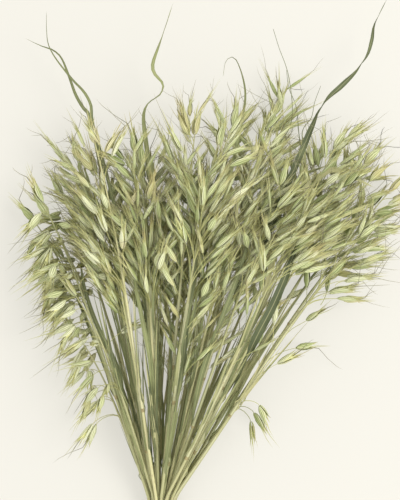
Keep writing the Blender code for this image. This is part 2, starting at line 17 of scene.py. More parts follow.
import bpy
import numpy as np
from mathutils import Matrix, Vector


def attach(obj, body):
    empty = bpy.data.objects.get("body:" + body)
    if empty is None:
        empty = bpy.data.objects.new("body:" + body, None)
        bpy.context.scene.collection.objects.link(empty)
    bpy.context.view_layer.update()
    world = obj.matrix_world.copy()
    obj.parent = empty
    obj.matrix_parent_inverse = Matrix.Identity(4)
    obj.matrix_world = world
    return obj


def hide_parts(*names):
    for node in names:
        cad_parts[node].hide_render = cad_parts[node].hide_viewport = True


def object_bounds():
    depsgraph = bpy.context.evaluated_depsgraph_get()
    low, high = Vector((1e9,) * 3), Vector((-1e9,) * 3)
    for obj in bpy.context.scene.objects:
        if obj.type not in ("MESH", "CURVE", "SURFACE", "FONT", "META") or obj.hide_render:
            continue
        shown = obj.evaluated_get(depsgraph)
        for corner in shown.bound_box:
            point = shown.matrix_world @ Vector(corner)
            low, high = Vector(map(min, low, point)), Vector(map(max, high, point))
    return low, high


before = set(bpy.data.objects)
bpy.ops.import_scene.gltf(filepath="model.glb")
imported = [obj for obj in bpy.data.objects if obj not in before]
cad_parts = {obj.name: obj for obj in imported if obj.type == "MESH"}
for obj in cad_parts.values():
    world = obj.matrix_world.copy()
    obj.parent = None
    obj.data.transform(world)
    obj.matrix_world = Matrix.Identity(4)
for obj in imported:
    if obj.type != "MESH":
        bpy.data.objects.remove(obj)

solid_box = [list(corner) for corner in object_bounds()]
size = [high - low for low, high in zip(*solid_box)]
print("solid bundle, mm:", [round(1000 * side, 1) for side in size])

# %% [markdown]
# ## Real sizes
#
# Oat culms are 2 to 4 mm thick, and a spikelet is 20 to 28 mm long. All lengths are in metres, +Z is up, and
# the origin is on the table under the middle of the binding. The heads point along +Y.
#
# The numbers of this step and the next ones are the same that shaped the solids. A value that both models
# need is best written down once and named, so that a change can be carried over without searching.

# %% Sizes of the culms and of the fan that they open into
CULM_COUNT = 46
GAP = 0.0003                  # between pieces that touch on the real bundle
CULM_RADIUS = 0.0015          # in the binding
NECK_RADIUS = 0.0012          # under the panicle
RACHIS_TIP_RADIUS = 0.0009
FOOT_LENGTH = 0.150           # from the binding to the cut ends
FOOT_UNEVEN = 0.007
FOOT_FLARE = 1.15             # the cut ends spread by this share of their place in the binding

FAN_MIDDLE = math.radians(7)
FAN_HALF_ANGLE = math.radians(26)
FAN_OPENS_FROM = 0.004
FAN_OPENS_OVER = 0.027
# How far the tallest rachis reaches from the binding, across the fan from -1 to 1
REACH_ACROSS = (
    (-1.0, 0.300), (-0.85, 0.318), (-0.72, 0.345), (-0.6, 0.364), (-0.38, 0.334), (-0.18, 0.370),
    (0.05, 0.383), (0.28, 0.398), (0.6, 0.400), (0.87, 0.395), (1.0, 0.375),
)
SHORTEST_SHARE = 0.76
SHORTEST_AT_LEFT = 0.84
SHORTEST = 0.15
TIP_STEP = 0.005              # by which a culm is shortened, so that its tip touches no other
LEAN = (math.radians(11), math.radians(-6))  # with the place in the fan, and with its square
LEAN_UNEVEN = math.radians(7)
LEANS_LATE = 3.5                             # the culms bend over towards their tips

HEAD_ROW_PITCH = 0.0112       # one row of culms above the next, in the heads
RISE_FROM = 0.006             # past the binding
RISE_LENGTH = 0.235
HEAD_FIRST_ROW = 0.0135
FOOT_ROW_SPREAD = 1.2
EDGE_DROP = 0.38              # of the rows' heights, at the fan's edges
EDGE_DROPS_FROM = 0.050
EDGE_DROPS_OVER = 0.170
TIP_DROOP = 0.30              # of the rows' heights, at the tips
DROOPS_OVER = 0.18
FEET_SINK_FROM = 0.004        # below the binding, down to the table
FEET_SINK_OVER = 0.06

TWINE_DIAMETER = 0.0026
TWINE_TURNS = 3
BINDING_HALF = TWINE_TURNS * TWINE_DIAMETER / 2
SEED = 90

# %% [markdown]
# ## The culms and their fan
#
# In the binding the culms lie packed in rows, like pencils in a hand. Past it they open into a fan, and each
# row rises above the one below, because the panicles need room. A culm can be drawn by hand as a curve, but
# 46 of them would take long and would cross. Here each one follows the same few rules from its place in the
# binding, with small chance differences from one seeded draw, so the bundle is the same each time.

# %% The height of a row of culms
def smooth(x):
    """0 below 0, 1 above 1, and an even S between."""
    x = min(max(x, 0.0), 1.0)
    return x * x * (3.0 - 2.0 * x)


def mix(a, b, share):
    return a + (b - a) * share


def at_left(fan, start, over):
    """0 to the right of a place in the fan, and from there growing to 1 towards its left edge."""
    return smooth((-fan - start) / over)


def row_rise(s):
    """0 in the binding and 1 in the heads."""
    return math.sin(math.pi / 2 * min(max(s - RISE_FROM, 0) / RISE_LENGTH, 1))


def row_height(level, s, fan, foot=FOOT_LENGTH):
    """Height of a row of culms over the table, at distance s from the binding."""
    packing = (2 * CULM_RADIUS + GAP) * math.sqrt(3) / 2
    first_in_binding = TWINE_DIAMETER + GAP + CULM_RADIUS
    if s <= 0:
        sunk = smooth((-s - BINDING_HALF - FEET_SINK_FROM) / FEET_SINK_OVER)
        first = mix(first_in_binding, CULM_RADIUS + GAP, sunk)
        return first + level * packing * mix(1, FOOT_ROW_SPREAD, smooth(-s / foot))
    rise = row_rise(s)
    first = mix(first_in_binding, HEAD_FIRST_ROW, rise)
    drop = 1 - EDGE_DROP * fan**2 * smooth((s - EDGE_DROPS_FROM) / EDGE_DROPS_OVER)
    droop = 1 - TIP_DROOP * smooth((s - RISE_LENGTH) / DROOPS_OVER) ** 2
    return (first + level * mix(packing, HEAD_ROW_PITCH, rise) * drop) * droop


# %% One culm
KNOT_BELOW, KNOT_ABOVE = 0.004, 0.001   # from the binding's edges
FAN_KNOTS = (0.020, 0.036)              # from the binding's middle
RACHIS_KNOTS = (0.0, 0.31, 0.64, 1.0)   # share of the rachis
COURSE_STEP = 0.003
FOOT_POINTS = 12
HEADING_OVER = 0.004


@dataclass
class Culm:
    """One oat stem, as its place in the binding and its course through the fan."""

    level: int          # its row, counted from the table
    seat: float         # its x in the binding
    fan: float          # -1 at the fan's left edge and 1 at its right
    reach: float        # from the binding to the tip of its rachis
    foot: float         # from the binding to its cut end
    lean: float         # how far its bearing turns by the tip
    sway: float         # a small rise or fall among its row
    panicle_from: float
    low: bool           # its panicle starts low and hangs
    knots: list = field(default_factory=list)   # distances along it from the binding
    line: list = field(default_factory=list)    # its middle at each knot

    def bearing(self, s):
        opened = smooth((s - FAN_OPENS_FROM) / FAN_OPENS_OVER)
        leaning = self.lean * (max(s, 0) / self.reach) ** LEANS_LATE
        return (FAN_MIDDLE + FAN_HALF_ANGLE * self.fan) * opened + leaning

    def height(self, s):
        return row_height(self.level, s, self.fan, self.foot) + self.sway * row_rise(s)

    def course(self, step=COURSE_STEP):
        """(distances, points): the smooth middle line, from the cut end to the tip."""
        above = np.arange(0, self.reach + step, step)
        above[-1] = self.reach
        x, y = self.seat, 0.0
        points = [Vector((x, y, self.height(0)))]
        for a, b in zip(above, above[1:]):
            bearing = self.bearing((a + b) / 2)
            x += math.sin(bearing) * (b - a)
            y += math.cos(bearing) * (b - a)
            points.append(Vector((x, y, self.height(b))))
        below = np.linspace(-self.foot, 0, FOOT_POINTS)[:-1]
        flared = [self.seat * (1 + FOOT_FLARE * smooth(-s / self.foot)) for s in below]
        feet = [Vector((fx, s, self.height(s))) for fx, s in zip(flared, below)]
        return [*below, *above], feet + points

    def set_knots(self):
        """Keeps the few points of the course that the solid culm is built on."""
        panicle = self.reach - self.panicle_from
        self.knots = [-self.foot, -BINDING_HALF - KNOT_BELOW, BINDING_HALF + KNOT_ABOVE, *FAN_KNOTS]
        self.knots += [mix(FAN_KNOTS[-1], self.panicle_from, 0.5)]
        self.knots += [self.panicle_from + panicle * share for share in RACHIS_KNOTS]
        distances, points = self.course()
        coords = [np.interp(self.knots, distances, [p[axis] for p in points]) for axis in range(3)]
        self.line = [Vector(p) for p in zip(*coords)]

    def at(self, s):
        """The point of the solid culm's middle at distance s from the binding."""
        return Vector([np.interp(s, self.knots, [p[axis] for p in self.line]) for axis in range(3)])

    def heading(self, s):
        return (self.at(s + HEADING_OVER) - self.at(s - HEADING_OVER)).normalized()

    def radius(self, s):
        neck = mix(CULM_RADIUS, NECK_RADIUS, smooth(max(s, 0) / self.panicle_from))
        along = max(s - self.panicle_from, 0) / (self.reach - self.panicle_from)
        return mix(neck, RACHIS_TIP_RADIUS, along)


# %% All the culms, row by row
# Where the panicles start, as a share of the culm's reach, across the fan from -1 to 1
STARTS_ACROSS = (
    (-1.0, 0.64), (-0.7, 0.62), (-0.4, 0.60), (-0.1, 0.56), (0.3, 0.54), (0.6, 0.61), (1.0, 0.72),
)
START_UNEVEN = 0.045
# A few culms at the fan's edges have low panicles: (share of the reach, start) for a row and an edge
LOW_PANICLES = {
    (3, "left"): (0.62, 0.50),
    (6, "left"): (0.74, 0.54),
    (4, "right"): (0.90, 0.42),
}
PACKING_NUMBERS = range(-7, 8)  # of rows and of places in a row, more than the culms fill
PACKING_SHIFT = 0.25            # so that the packing's middle lies between two culms
FULL_ROW = 7                    # culms, which open over the whole fan
SHORT_ROW_SPAN = 0.80           # share of the fan for a shorter row
ROW_STRETCH = 1.08
PLACE_UNEVEN = 0.28
SWAY = 0.0016


def binding_rows():
    """The culms' places in the binding, as rows of a close packing: a list of x a row, lowest first."""
    pitch = 2 * CULM_RADIUS + GAP
    places = []
    for row in PACKING_NUMBERS:
        for column in PACKING_NUMBERS:
            x = (column + 0.5 * (row % 2) + PACKING_SHIFT) * pitch
            z = (row + 0.5) * pitch * math.sqrt(3) / 2
            places.append((round(math.hypot(x, z), 7), row, x))
    rows = {}
    for _, row, x in sorted(places)[:CULM_COUNT]:
        rows.setdefault(row, []).append(x)
    return [sorted(rows[row]) for row in sorted(rows)]


def grow_culms(rng):
    """Every culm. Within a row they keep their order across the fan, so they never cross."""
    culms = []
    for level, row in enumerate(binding_rows()):
        span = mix(SHORT_ROW_SPAN, 1.0, smooth(len(row) / FULL_ROW))
        for place, seat in enumerate(row):
            uneven = rng.uniform(-PLACE_UNEVEN, PLACE_UNEVEN)
            even = (2 * (place + 0.5 + uneven) / len(row) - 1) * ROW_STRETCH
            fan = max(-1.0, min(1.0, even * span))
            tallest = np.interp(fan, *zip(*REACH_ACROSS))
            shortest = mix(SHORTEST_SHARE, SHORTEST_AT_LEFT, at_left(fan, 0.7, 0.3))
            reach = float(tallest) * mix(1, shortest, rng.random())
            lean = LEAN[0] * fan + LEAN[1] * fan**2 + rng.uniform(-LEAN_UNEVEN, LEAN_UNEVEN)
            start = float(np.interp(fan, *zip(*STARTS_ACROSS))) + rng.uniform(-START_UNEVEN, START_UNEVEN)
            edge = {0: "left", len(row) - 1: "right"}.get(place)
            low = LOW_PANICLES.get((level, edge))
            if low:
                reach, start = reach * low[0], low[1]
            culms.append(
                Culm(
                    level=level,
                    seat=seat,
                    fan=fan,
                    reach=reach,
                    foot=FOOT_LENGTH + rng.uniform(-FOOT_UNEVEN, FOOT_UNEVEN),
                    lean=lean,
                    sway=rng.uniform(-SWAY, SWAY),
                    panicle_from=reach * start,
                    low=bool(low),
                )
            )
            culms[-1].set_knots()
    return culms


rng = random.Random(SEED)
culms = grow_culms(rng)
print(len(culms), "culms in rows of", [len(row) for row in binding_rows()])

# %% [markdown]
# ## Room for every spikelet
#
# Two solid spikelets never share the same space, and the detailed ones should not either. A test of meshes
# against each other is slow. A chain of balls along each piece is a good stand-in: two pieces are clear of
# each other when no two of their balls meet. Each new piece is tried against the crowd that is there, and is
# drawn again where it hits something.

# %% The crowd of balls
SPIKELET_LENGTH = 0.027
SPIKELET_HALF_WIDTH = 0.0043
BELLY_AT = 0.38                         # share of the spikelet's length
BALL_STEP = 0.0025
LARGEST_BALL = 0.006
STEM_ROOM, TIP_ROOM = 0.0005, 0.0006    # added to the balls of culms and of their last spikelets
TIP_NOD = 0.12


class Crowd:
    """The space already taken: balls along every piece, each with the number of its culm."""

    def __init__(self):
        self.centres = np.empty((0, 3))
        self.radii = np.empty(0)
        self.owners = np.empty(0, int)
        self.stems = np.empty(0, bool)

    def add(self, balls, owner, stem=False):
        centres, radii = balls
        self.centres = np.vstack([self.centres, centres])
        self.radii = np.append(self.radii, radii)
        self.owners = np.append(self.owners, np.full(len(radii), owner))
        self.stems = np.append(self.stems, np.full(len(radii), stem))

    def clears(self, balls, owner, from_stem, from_sisters):
        """True if the balls touch no other culm's. Their own culm's stem and its other pieces, which they
        may touch at the root, count from the given balls on."""
        centres, radii = balls
        low = centres.min(0) - radii.max() - LARGEST_BALL
        high = centres.max(0) + radii.max() + LARGEST_BALL
        near = ((self.centres > low) & (self.centres < high)).all(1)
        theirs = near & (self.owners != owner)
        stem = near & (self.owners == owner) & self.stems
        sisters = near & (self.owners == owner) & ~self.stems
        for taken, first in ((theirs, 0), (stem, from_stem), (sisters, from_sisters)):
            apart = np.linalg.norm(centres[first:, None] - self.centres[None, taken], axis=2)
            if (apart < radii[first:, None] + self.radii[None, taken]).any():
                return False
        return True


def balls_along(start, end, radius_at, spacing):
    """(centres, radii) of balls from start to end, with radius_at(share) giving each one's size."""
    count = max(2, math.ceil((end - start).length / spacing) + 1)
    shares = np.linspace(0, 1, count)
    centres = np.array([start.lerp(end, share) for share in shares])
    return centres, np.array([radius_at(share) for share in shares])


def joined(*groups):
    return np.vstack([g[0] for g in groups]), np.concatenate([g[1] for g in groups])


# %% The spikelet on the tip of each rachis
def terminal_spikelet(culm):
    """(belly, tip): the spikelet that ends the rachis runs on from it."""
    heading = (culm.line[-1] - culm.line[-2]).normalized()
    nodding = (heading + Vector((TIP_NOD * culm.fan, 0, -TIP_NOD))).normalized()
    belly = culm.line[-1] + nodding * SPIKELET_LENGTH * BELLY_AT
    return belly, culm.line[-1] + nodding * SPIKELET_LENGTH


def stem_balls(culm):
    groups = []
    for a, b, s in zip(culm.line, culm.line[1:], culm.knots):
        groups.append(balls_along(a, b, lambda share, r=culm.radius(s): r + STEM_ROOM, BALL_STEP))
    return joined(*groups)


def tip_balls(culm):
    belly, tip = terminal_spikelet(culm)
    width = SPIKELET_HALF_WIDTH
    swelling = balls_along(culm.line[-1], belly, lambda share: width * share + TIP_ROOM, BALL_STEP)
    tapering = balls_along(belly, tip, lambda share: width * (1 - share) + TIP_ROOM, BALL_STEP)
    return joined(swelling, tapering)


def part_tips(culms):
    """Shortens each culm until its terminal spikelet lies clear of the other culms."""
    moved = True
    while moved:
        moved = False
        for number, culm in enumerate(culms):
            others = Crowd()
            for other_number, other in enumerate(culms):
                if other is not culm:
                    others.add(stem_balls(other), other_number)
                    others.add(tip_balls(other), other_number)
            while culm.reach > SHORTEST and not others.clears(tip_balls(culm), number, 0, 0):
                culm.reach -= TIP_STEP
                culm.panicle_from -= TIP_STEP / 2
                culm.set_knots()
                moved = True


part_tips(culms)
crowd = Crowd()
for number, culm in enumerate(culms):
    crowd.add(stem_balls(culm), number, stem=True)
    crowd.add(tip_balls(culm), number)
print("longest culm, mm:", round(1000 * max(culm.reach + culm.foot for culm in culms)))

# %% [markdown]
# ## Leaf blades
#
# Most of an oat's leaves break off as it dries. A few long blades are left, and each one leaves its culm at
# a narrow angle and goes its own way between the heads. A blade is given as a few points seen from above.
# Its height comes from the rows of culms: it runs in the gap above its own row, and cuts through nothing.

# %% The blades and their ways
TRIES = 40
BLADE_CLIMB = 0.022                       # along it, from its culm to the gap above its culm's row
BLADE_LEAVES = (0.009, math.radians(16))  # its first stretch, and how far that turns off the culm
BLADE_CULMS = 4                           # that are tried for a blade
BLADE_TRIES = 2 * TRIES                   # on each of them
BLADE_LIFTED, BLADE_PUSHED = 0.002, 0.006 # at most, to find a clear way
BLADE_BALLS_ACROSS = (-0.8, -0.4, 0, 0.4, 0.8)
BLADE_BALL_SIZE = 0.2                     # share of the half width
BLADE_ROOM = 0.0007
BLADE_TAPERS_TO = 0.0005                  # half width
OVER_TABLE = 0.002


@dataclass
class Blade:
    """A leaf blade, by the culm that it leaves and the way that it takes."""

    fan: float
    level: int
    start: float         # how far up its culm
    width: float
    way: tuple           # (x, y) from above
    twist: float = 0.0   # of its outer half, in degrees
    lift: float = 0.0    # of its tip

    def half_width(self, share):
        """Narrow where it leaves the culm, full a quarter along, and a narrow tip."""
        return self.width / 2 * (0.3 + 0.7 * smooth(share / 0.25)) * (1 - share**5) ** 0.8


BLADES = (
    # The two that curve out at the top left and cross each other
    Blade(
        -0.62, 3, 0.183, 0.0036,
        ((-0.044, 0.253), (-0.055, 0.313), (-0.067, 0.370), (-0.075, 0.383), (-0.082, 0.396),
         (-0.088, 0.413), (-0.095, 0.429), (-0.103, 0.436), (-0.112, 0.439), (-0.125, 0.445)),
    ),
    Blade(
        -0.42, 5, 0.193, 0.0030,
        ((-0.034, 0.253), (-0.049, 0.313), (-0.064, 0.365), (-0.066, 0.382), (-0.072, 0.394),
         (-0.083, 0.406), (-0.096, 0.422), (-0.105, 0.437), (-0.107, 0.451), (-0.107, 0.465)),
    ),
    # The curled one and the hooked one at the top
    Blade(
        -0.18, 4, 0.203, 0.0042,
        ((0.000, 0.253), (-0.008, 0.313), (-0.015, 0.375), (0.000, 0.393), (0.002, 0.403),
         (-0.006, 0.413), (-0.007, 0.423), (0.002, 0.449), (0.010, 0.473)),
        twist=250,
    ),
    Blade(
        0.14, 5, 0.213, 0.0028,
        ((0.051, 0.268), (0.064, 0.323), (0.074, 0.370), (0.077, 0.391), (0.075, 0.406),
         (0.070, 0.421), (0.065, 0.426), (0.059, 0.422), (0.057, 0.411)),
    ),
    # The long one at the top right
    Blade(
        0.45, 4, 0.213, 0.0056,
        ((0.091, 0.253), (0.112, 0.303), (0.138, 0.363), (0.150, 0.386), (0.164, 0.400), (0.178, 0.415),
         (0.188, 0.429), (0.193, 0.443), (0.196, 0.458), (0.206, 0.479)),
        twist=120,
    ),
    # The bent one and the dark one on the right
    Blade(
        0.60, 5, 0.223, 0.0060,
        ((0.106, 0.258), (0.125, 0.299), (0.149, 0.321), (0.162, 0.323), (0.178, 0.316), (0.194, 0.309)),
        lift=-0.004,
    ),
    Blade(0.70, 6, 0.163, 0.0076,
          ((0.088, 0.177), (0.100, 0.200), (0.110, 0.223), (0.119, 0.247), (0.123, 0.259))),
    # Lower blades, along the culms
    Blade(-0.05, 6, 0.088, 0.0042,
          ((0.018, 0.143), (0.023, 0.193), (0.030, 0.238), (0.036, 0.268)), lift=0.004),
    Blade(0.30, 6, 0.093, 0.0044,
          ((0.038, 0.143), (0.056, 0.193), (0.072, 0.238), (0.081, 0.273)), lift=0.004),
    Blade(-0.45, 6, 0.098, 0.0040, ((-0.008, 0.148), (-0.016, 0.193), (-0.022, 0.228), (-0.022, 0.258))),
    Blade(-0.85, 4, 0.108, 0.0040, ((-0.039, 0.143), (-0.059, 0.185), (-0.070, 0.219), (-0.073, 0.243))),
)


def side_and_up(heading):
    """Two directions square to a heading: level, and as near upright as can be."""
    side = heading.cross(Vector((0, 0, 1))).normalized()
    return side, side.cross(heading).normalized()


def blade_points(blade, culm, lifted, pushed):
    """The blade's middle from inside its culm to its tip. It leaves to the side that it goes on to, and
    runs in the gap above its row of culms, lifted and pushed sideways by the given amounts."""
    start = culm.at(blade.start)
    first, turn = BLADE_LEAVES
    onward = math.atan2(blade.way[0][0] - start.x, blade.way[0][1] - start.y)
    off = culm.bearing(blade.start) + math.copysign(turn, onward - culm.bearing(blade.start))
    plan = [(start.x, start.y), (start.x + first * math.sin(off), start.y + first * math.cos(off))]
    plan += [(x + pushed, y) for x, y in blade.way]
    steps = [math.dist(a, b) for a, b in zip(plan, plan[1:])]
    points = [start.copy()]
    for index, (x, y) in enumerate(plan[1:]):
        along = sum(steps[: index + 1])
        fan = (math.atan2(x, y) - FAN_MIDDLE) / FAN_HALF_ANGLE
        gap = row_height(blade.level + 0.5, math.hypot(x, y), max(-1, min(1, fan))) + lifted
        height = mix(start.z, gap, smooth(along / BLADE_CLIMB))
        points.append(Vector((x, y, height + blade.lift * (along / sum(steps)) ** 2)))
    return points


def blade_widths(blade, points):
    steps = [0] + [(b - a).length for a, b in zip(points, points[1:])]
    return [max(BLADE_TAPERS_TO, blade.half_width(t)) for t in np.cumsum(steps) / sum(steps)]


def blade_sections(blade, points):
    """(across, through) at each point: the ways that the blade's width and thickness lie."""
    sections = []
    for index in range(len(points)):
        before, after = points[max(index - 1, 0)], points[min(index + 1, len(points) - 1)]
        side, up = side_and_up((after - before).normalized())
        twist = math.radians(blade.twist) * smooth(2 * index / (len(points) - 1) - 1)
        across = side * math.cos(twist) + up * math.sin(twist)
        sections.append((across, up * math.cos(twist) - side * math.sin(twist)))
    return sections


# %% Find each blade a clear way through the culms
def blade_balls(blade, points):
    widths = blade_widths(blade, points)
    sections = blade_sections(blade, points)
    groups = []
    for index in range(len(points) - 1):
        for shift in BLADE_BALLS_ACROSS:
            start = points[index] + sections[index][0] * widths[index] * shift
            end = points[index + 1] + sections[index + 1][0] * widths[index + 1] * shift
            radius = BLADE_BALL_SIZE * max(widths[index : index + 2]) + BLADE_ROOM
            groups.append(balls_along(start, end, lambda share, r=radius: r, BALL_STEP))
    return joined(*groups)


def blade_if_clear(number, blade, crowd, lifted=0.0, pushed=0.0):
    """(number of its culm, blade, points), where the blade goes clear of the crowd, which it then joins."""
    points = blade_points(blade, culms[number], lifted, pushed)
    balls = blade_balls(blade, points)
    count = len(balls[1])
    clear = crowd.clears(balls, number, from_stem=count, from_sisters=count)
    if not clear or balls[0][:, 2].min() <= OVER_TABLE:
        return None
    crowd.add(balls, number)
    return number, blade, points


def grow_blades(culms, crowd, rng):
    """Each blade on a culm of its own, as near to its place in the fan as it finds a clear way."""
    grown = []
    for blade in BLADES:
        taken = [number for number, _, _ in grown]
        free = [n for n in range(len(culms)) if n not in taken]
        free.sort(key=lambda n: abs(culms[n].fan - blade.fan) * 5 + abs(culms[n].level - blade.level))
        for attempt in range(BLADE_CULMS * BLADE_TRIES):
            ease = attempt % BLADE_TRIES / BLADE_TRIES
            lifted = rng.uniform(-BLADE_LIFTED, BLADE_LIFTED) * ease
            pushed = rng.uniform(-BLADE_PUSHED, BLADE_PUSHED) * ease
            found = blade_if_clear(free[attempt // BLADE_TRIES], blade, crowd, lifted, pushed)
            if found:
                grown.append(found)
                break
    return grown


blades = grow_blades(culms, crowd, rng)
print(len(blades), "long blades, on culms", [number + 1 for number, _, _ in blades])

# %% [markdown]
# ## Panicles
#
# An oat's head is a panicle: from knots on the rachis, whorls of thin branches stand out, and each branch
# ends in a hanging spikelet. Lying down, the panicle is flatter than wide. At the fan's left edge the
# branches hang outwards, and a few low panicles do so too. Modelling one panicle and copying it would be
# quicker, but the eye soon finds the copies. Here a branch is drawn by chance within these limits, and drawn
# again until its spikelet lies clear of everything that is there.

# %% Draw a branch and its spikelet
WHORLS = (0.06, 0.22, 0.40, 0.56, 0.72, 0.86)  # share of the rachis
WHORL_UNEVEN = 0.03
BRANCHES = (2, 2, 2, 1, 1, 1)           # that carry a solid spikelet
BRANCH_LENGTHS = (0.046, 0.042, 0.037, 0.030, 0.023, 0.015)
BRANCH_END_RADIUS = 0.00055
BRANCH_ROOM, BRANCH_BALL_STEP = 0.0007, 0.0022
BELLY_ROOM, BELLY_BALL_STEP = 0.0003, 0.0028
LOW_SPREAD = (math.radians(14), math.radians(30))
TOP_SPREAD = (math.radians(24), math.radians(44))
NOD = (math.radians(3), math.radians(20))
HANG = math.radians(58)                 # extra spread at the fan's left edge
FLATTEN = 0.6                           # panicles are flatter than wide, lying down
PRESSED_IN = 0.0016                     # a spikelet may sink in so far, and is pressed flat on the table
OUTWARD, HANGING_OUTWARD = 0.35, 0.6    # chance that a branch turns to the fan's outside
LENGTH_UNEVEN = (0.7, 1.15)
HANGING_LENGTH = 0.55                   # share of a branch's length where it hangs outwards
HANG_UNEVEN = (0.5, 1.0)
HANGING_NOD = 0.6                       # share of HANG
SAG = 0.25
SPIKELET_UNEVEN = (0.85, 1.1)
SHORTENED = 0.7                         # share of its length at the last try
LOWEST_END = 0.0008                     # over the table


@dataclass
class Spikelet:
    """A branch of the panicle and the spikelet on its end."""

    root: Vector
    joint: Vector
    tip: Vector
    face: Vector   # the way the spikelet's flat side looks

    def branch_balls(self):
        radius = BRANCH_END_RADIUS + BRANCH_ROOM
        return balls_along(self.root, self.joint, lambda share: radius, BRANCH_BALL_STEP)

    def balls(self):
        """The space that it takes, a little more than its solid."""

        def belly(share):
            full = share / BELLY_AT if share < BELLY_AT else (1 - share) / (1 - BELLY_AT)
            return BRANCH_END_RADIUS + BELLY_ROOM + (SPIKELET_HALF_WIDTH - BRANCH_END_RADIUS) * full

        return joined(self.branch_balls(), balls_along(self.joint, self.tip, belly, BELLY_BALL_STEP))


def hang_of(culm, whorl):
    """How far a whorl's branches hang outwards: fully at the left edge and on low panicles' first whorl, and
    for the first whorl a little at the right edge."""
    if culm.low and whorl == 0:
        return 1.0
    right = 0.3 * smooth((culm.fan - 0.8) / 0.2) * (whorl == 0)
    return max(at_left(culm.fan, 0.6, 0.4), right)


def draw_spikelet(culm, whorl, rng, length_share):
    """One random branch of a whorl, with its spikelet."""
    panicle = culm.reach - culm.panicle_from
    s = culm.panicle_from + panicle * (WHORLS[whorl] + rng.uniform(-WHORL_UNEVEN, WHORL_UNEVEN))
    heading = culm.heading(s)
    side, up = side_and_up(heading)
    hang = hang_of(culm, whorl)
    outward = -1 if culm.fan < 0 else 1
    turn = rng.uniform(0, 2 * math.pi)
    across = math.cos(turn)
    if rng.random() < OUTWARD + HANGING_OUTWARD * hang:
        across = outward * abs(across)
    around = (side * across + up * math.sin(turn) * FLATTEN).normalized()
    up_rachis = whorl / (len(WHORLS) - 1)
    least, most = (mix(low, top, up_rachis) for low, top in zip(LOW_SPREAD, TOP_SPREAD))
    spread = rng.uniform(least, most) + HANG * hang * rng.uniform(*HANG_UNEVEN)
    length = BRANCH_LENGTHS[whorl] * rng.uniform(*LENGTH_UNEVEN) * length_share
    length *= mix(1, HANGING_LENGTH, hang)
    aim = heading * math.cos(spread) + around * math.sin(spread)
    root = culm.at(s)
    joint = root + aim * length
    nod = spread + rng.uniform(*NOD) + HANGING_NOD * HANG * hang
    sag = Vector((0, 0, -rng.uniform(0.0, SAG)))
    spikelet_aim = (heading * math.cos(nod) + around * math.sin(nod) + sag).normalized()
    face = (up + side * rng.uniform(-1, 1)).normalized()
    tip = joint + spikelet_aim * SPIKELET_LENGTH * rng.uniform(*SPIKELET_UNEVEN)
    return Spikelet(root, joint, tip, face)


# %% The spikelets that the solids have
def grow_panicles(culms, crowd, rng):
    """Each culm's spikelets. A branch is drawn again until it lies clear of all that is there."""
    panicles = [[] for _ in culms]
    for whorl in reversed(range(len(WHORLS))):
        for number, culm in enumerate(culms):
            for _ in range(BRANCHES[whorl]):
                for attempt in range(TRIES):
                    drawn = draw_spikelet(culm, whorl, rng, mix(1, SHORTENED, attempt / TRIES))
                    balls = drawn.balls()
                    dips = (balls[1] - balls[0][:, 2]).max()
                    from_spikelet = len(drawn.branch_balls()[1])
                    if dips > PRESSED_IN or min(drawn.joint.z, drawn.tip.z) < LOWEST_END:
                        continue
                    if crowd.clears(balls, number, from_spikelet, from_sisters=3):
                        crowd.add(balls, number)
                        panicles[number].append(drawn)
                        break
    return panicles


panicles = grow_panicles(culms, crowd, rng)
print(sum(len(p) for p in panicles), "spikelets on branches, as in the solids")

# %% [markdown]
# ## Many more spikelets
#
# The solids carry nine or ten spikelets a stem, enough for the panicle's form. A real panicle has 30 to 60,
# so the looks need more of them. They are drawn by the same rules, from a seed of their own. About half of
# them sit on side branches of the branches that are there, which gives the panicle its second order of
# branching. Their balls are slim, because the edges of papery glumes may touch or cross a little, but the
# core of one spikelet never runs through another's. There are fewer at the fan's edges, where single heads
# show, than in its middle, where they also reach further down.

# %% Draw the fine spikelets
FINE_SEED = 7
FINE_BRANCHES = (12, 7, 5, 3, 1, 0)     # for each whorl
# The share of them that is drawn, across the fan from -1 to 1
FINE_ACROSS = ((-1.0, 0.5), (-0.45, 0.6), (-0.3, 1.0), (0.35, 1.0), (0.6, 0.6), (1.0, 0.3))
FINE_AT_LEFT = (0, 0, 0, 2, 4, 2)       # for each whorl, at the fan's left edge
FINE_TRIES = 9
FINE_BODY = 0.0017                      # radius of the balls along a fine spikelet
FINE_SHY = 0.004                        # how far inside the solids' box the fine spikelets keep
FINE_LOWEST = 0.0015
FINE_SHORTENED = 0.35                   # share of its branch's length at the last try
FINE_BALL_STEP = 0.0030
SLIM_PART = (0.12, 0.8)                 # of its length, which takes up room
LOW_SHARE = 0.05                        # of them, on the low panicles
SIDE_BRANCH_SHARE = 0.55
SIDE_BRANCH_FROM = (0.35, 0.8)          # share of the branch that it grows from
SIDE_BRANCH_LENGTH = (0.25, 0.6)
LOWER_SHARE = 0.6                       # of the first whorl's, in this part of the fan, grow lower
LOWER_FAN = (-0.15, 0.75)
LOWER_BY = 0.060                        # at most
LOWER_LENGTH = (0.5, 0.9)


def slim_balls(spikelet):
    start, end = (spikelet.joint.lerp(spikelet.tip, share) for share in SLIM_PART)
    return balls_along(start, end, lambda share: FINE_BODY, FINE_BALL_STEP)


def moved_to(spikelet, root, length_share):
    """The same spikelet at the end of a shorter branch, on another root."""
    shift = root - spikelet.root - (spikelet.joint - spikelet.root) * (1 - length_share)
    return Spikelet(root, spikelet.joint + shift, spikelet.tip + shift, spikelet.face)


def inside_box(points, room):
    """True if the points keep within the solids' box, made larger by room on all sides but the lowest."""
    low, high = np.array(solid_box)
    low, high = low - room, high + room
    return bool((points[:, :2] > low[:2]).all() and (points < high).all())


def last_spikelet(culm):
    """The one at the tip of the rachis, which has no branch."""
    end = culm.line[-1]
    return Spikelet(end, end, terminal_spikelet(culm)[1], Vector((0, 0, 1)))


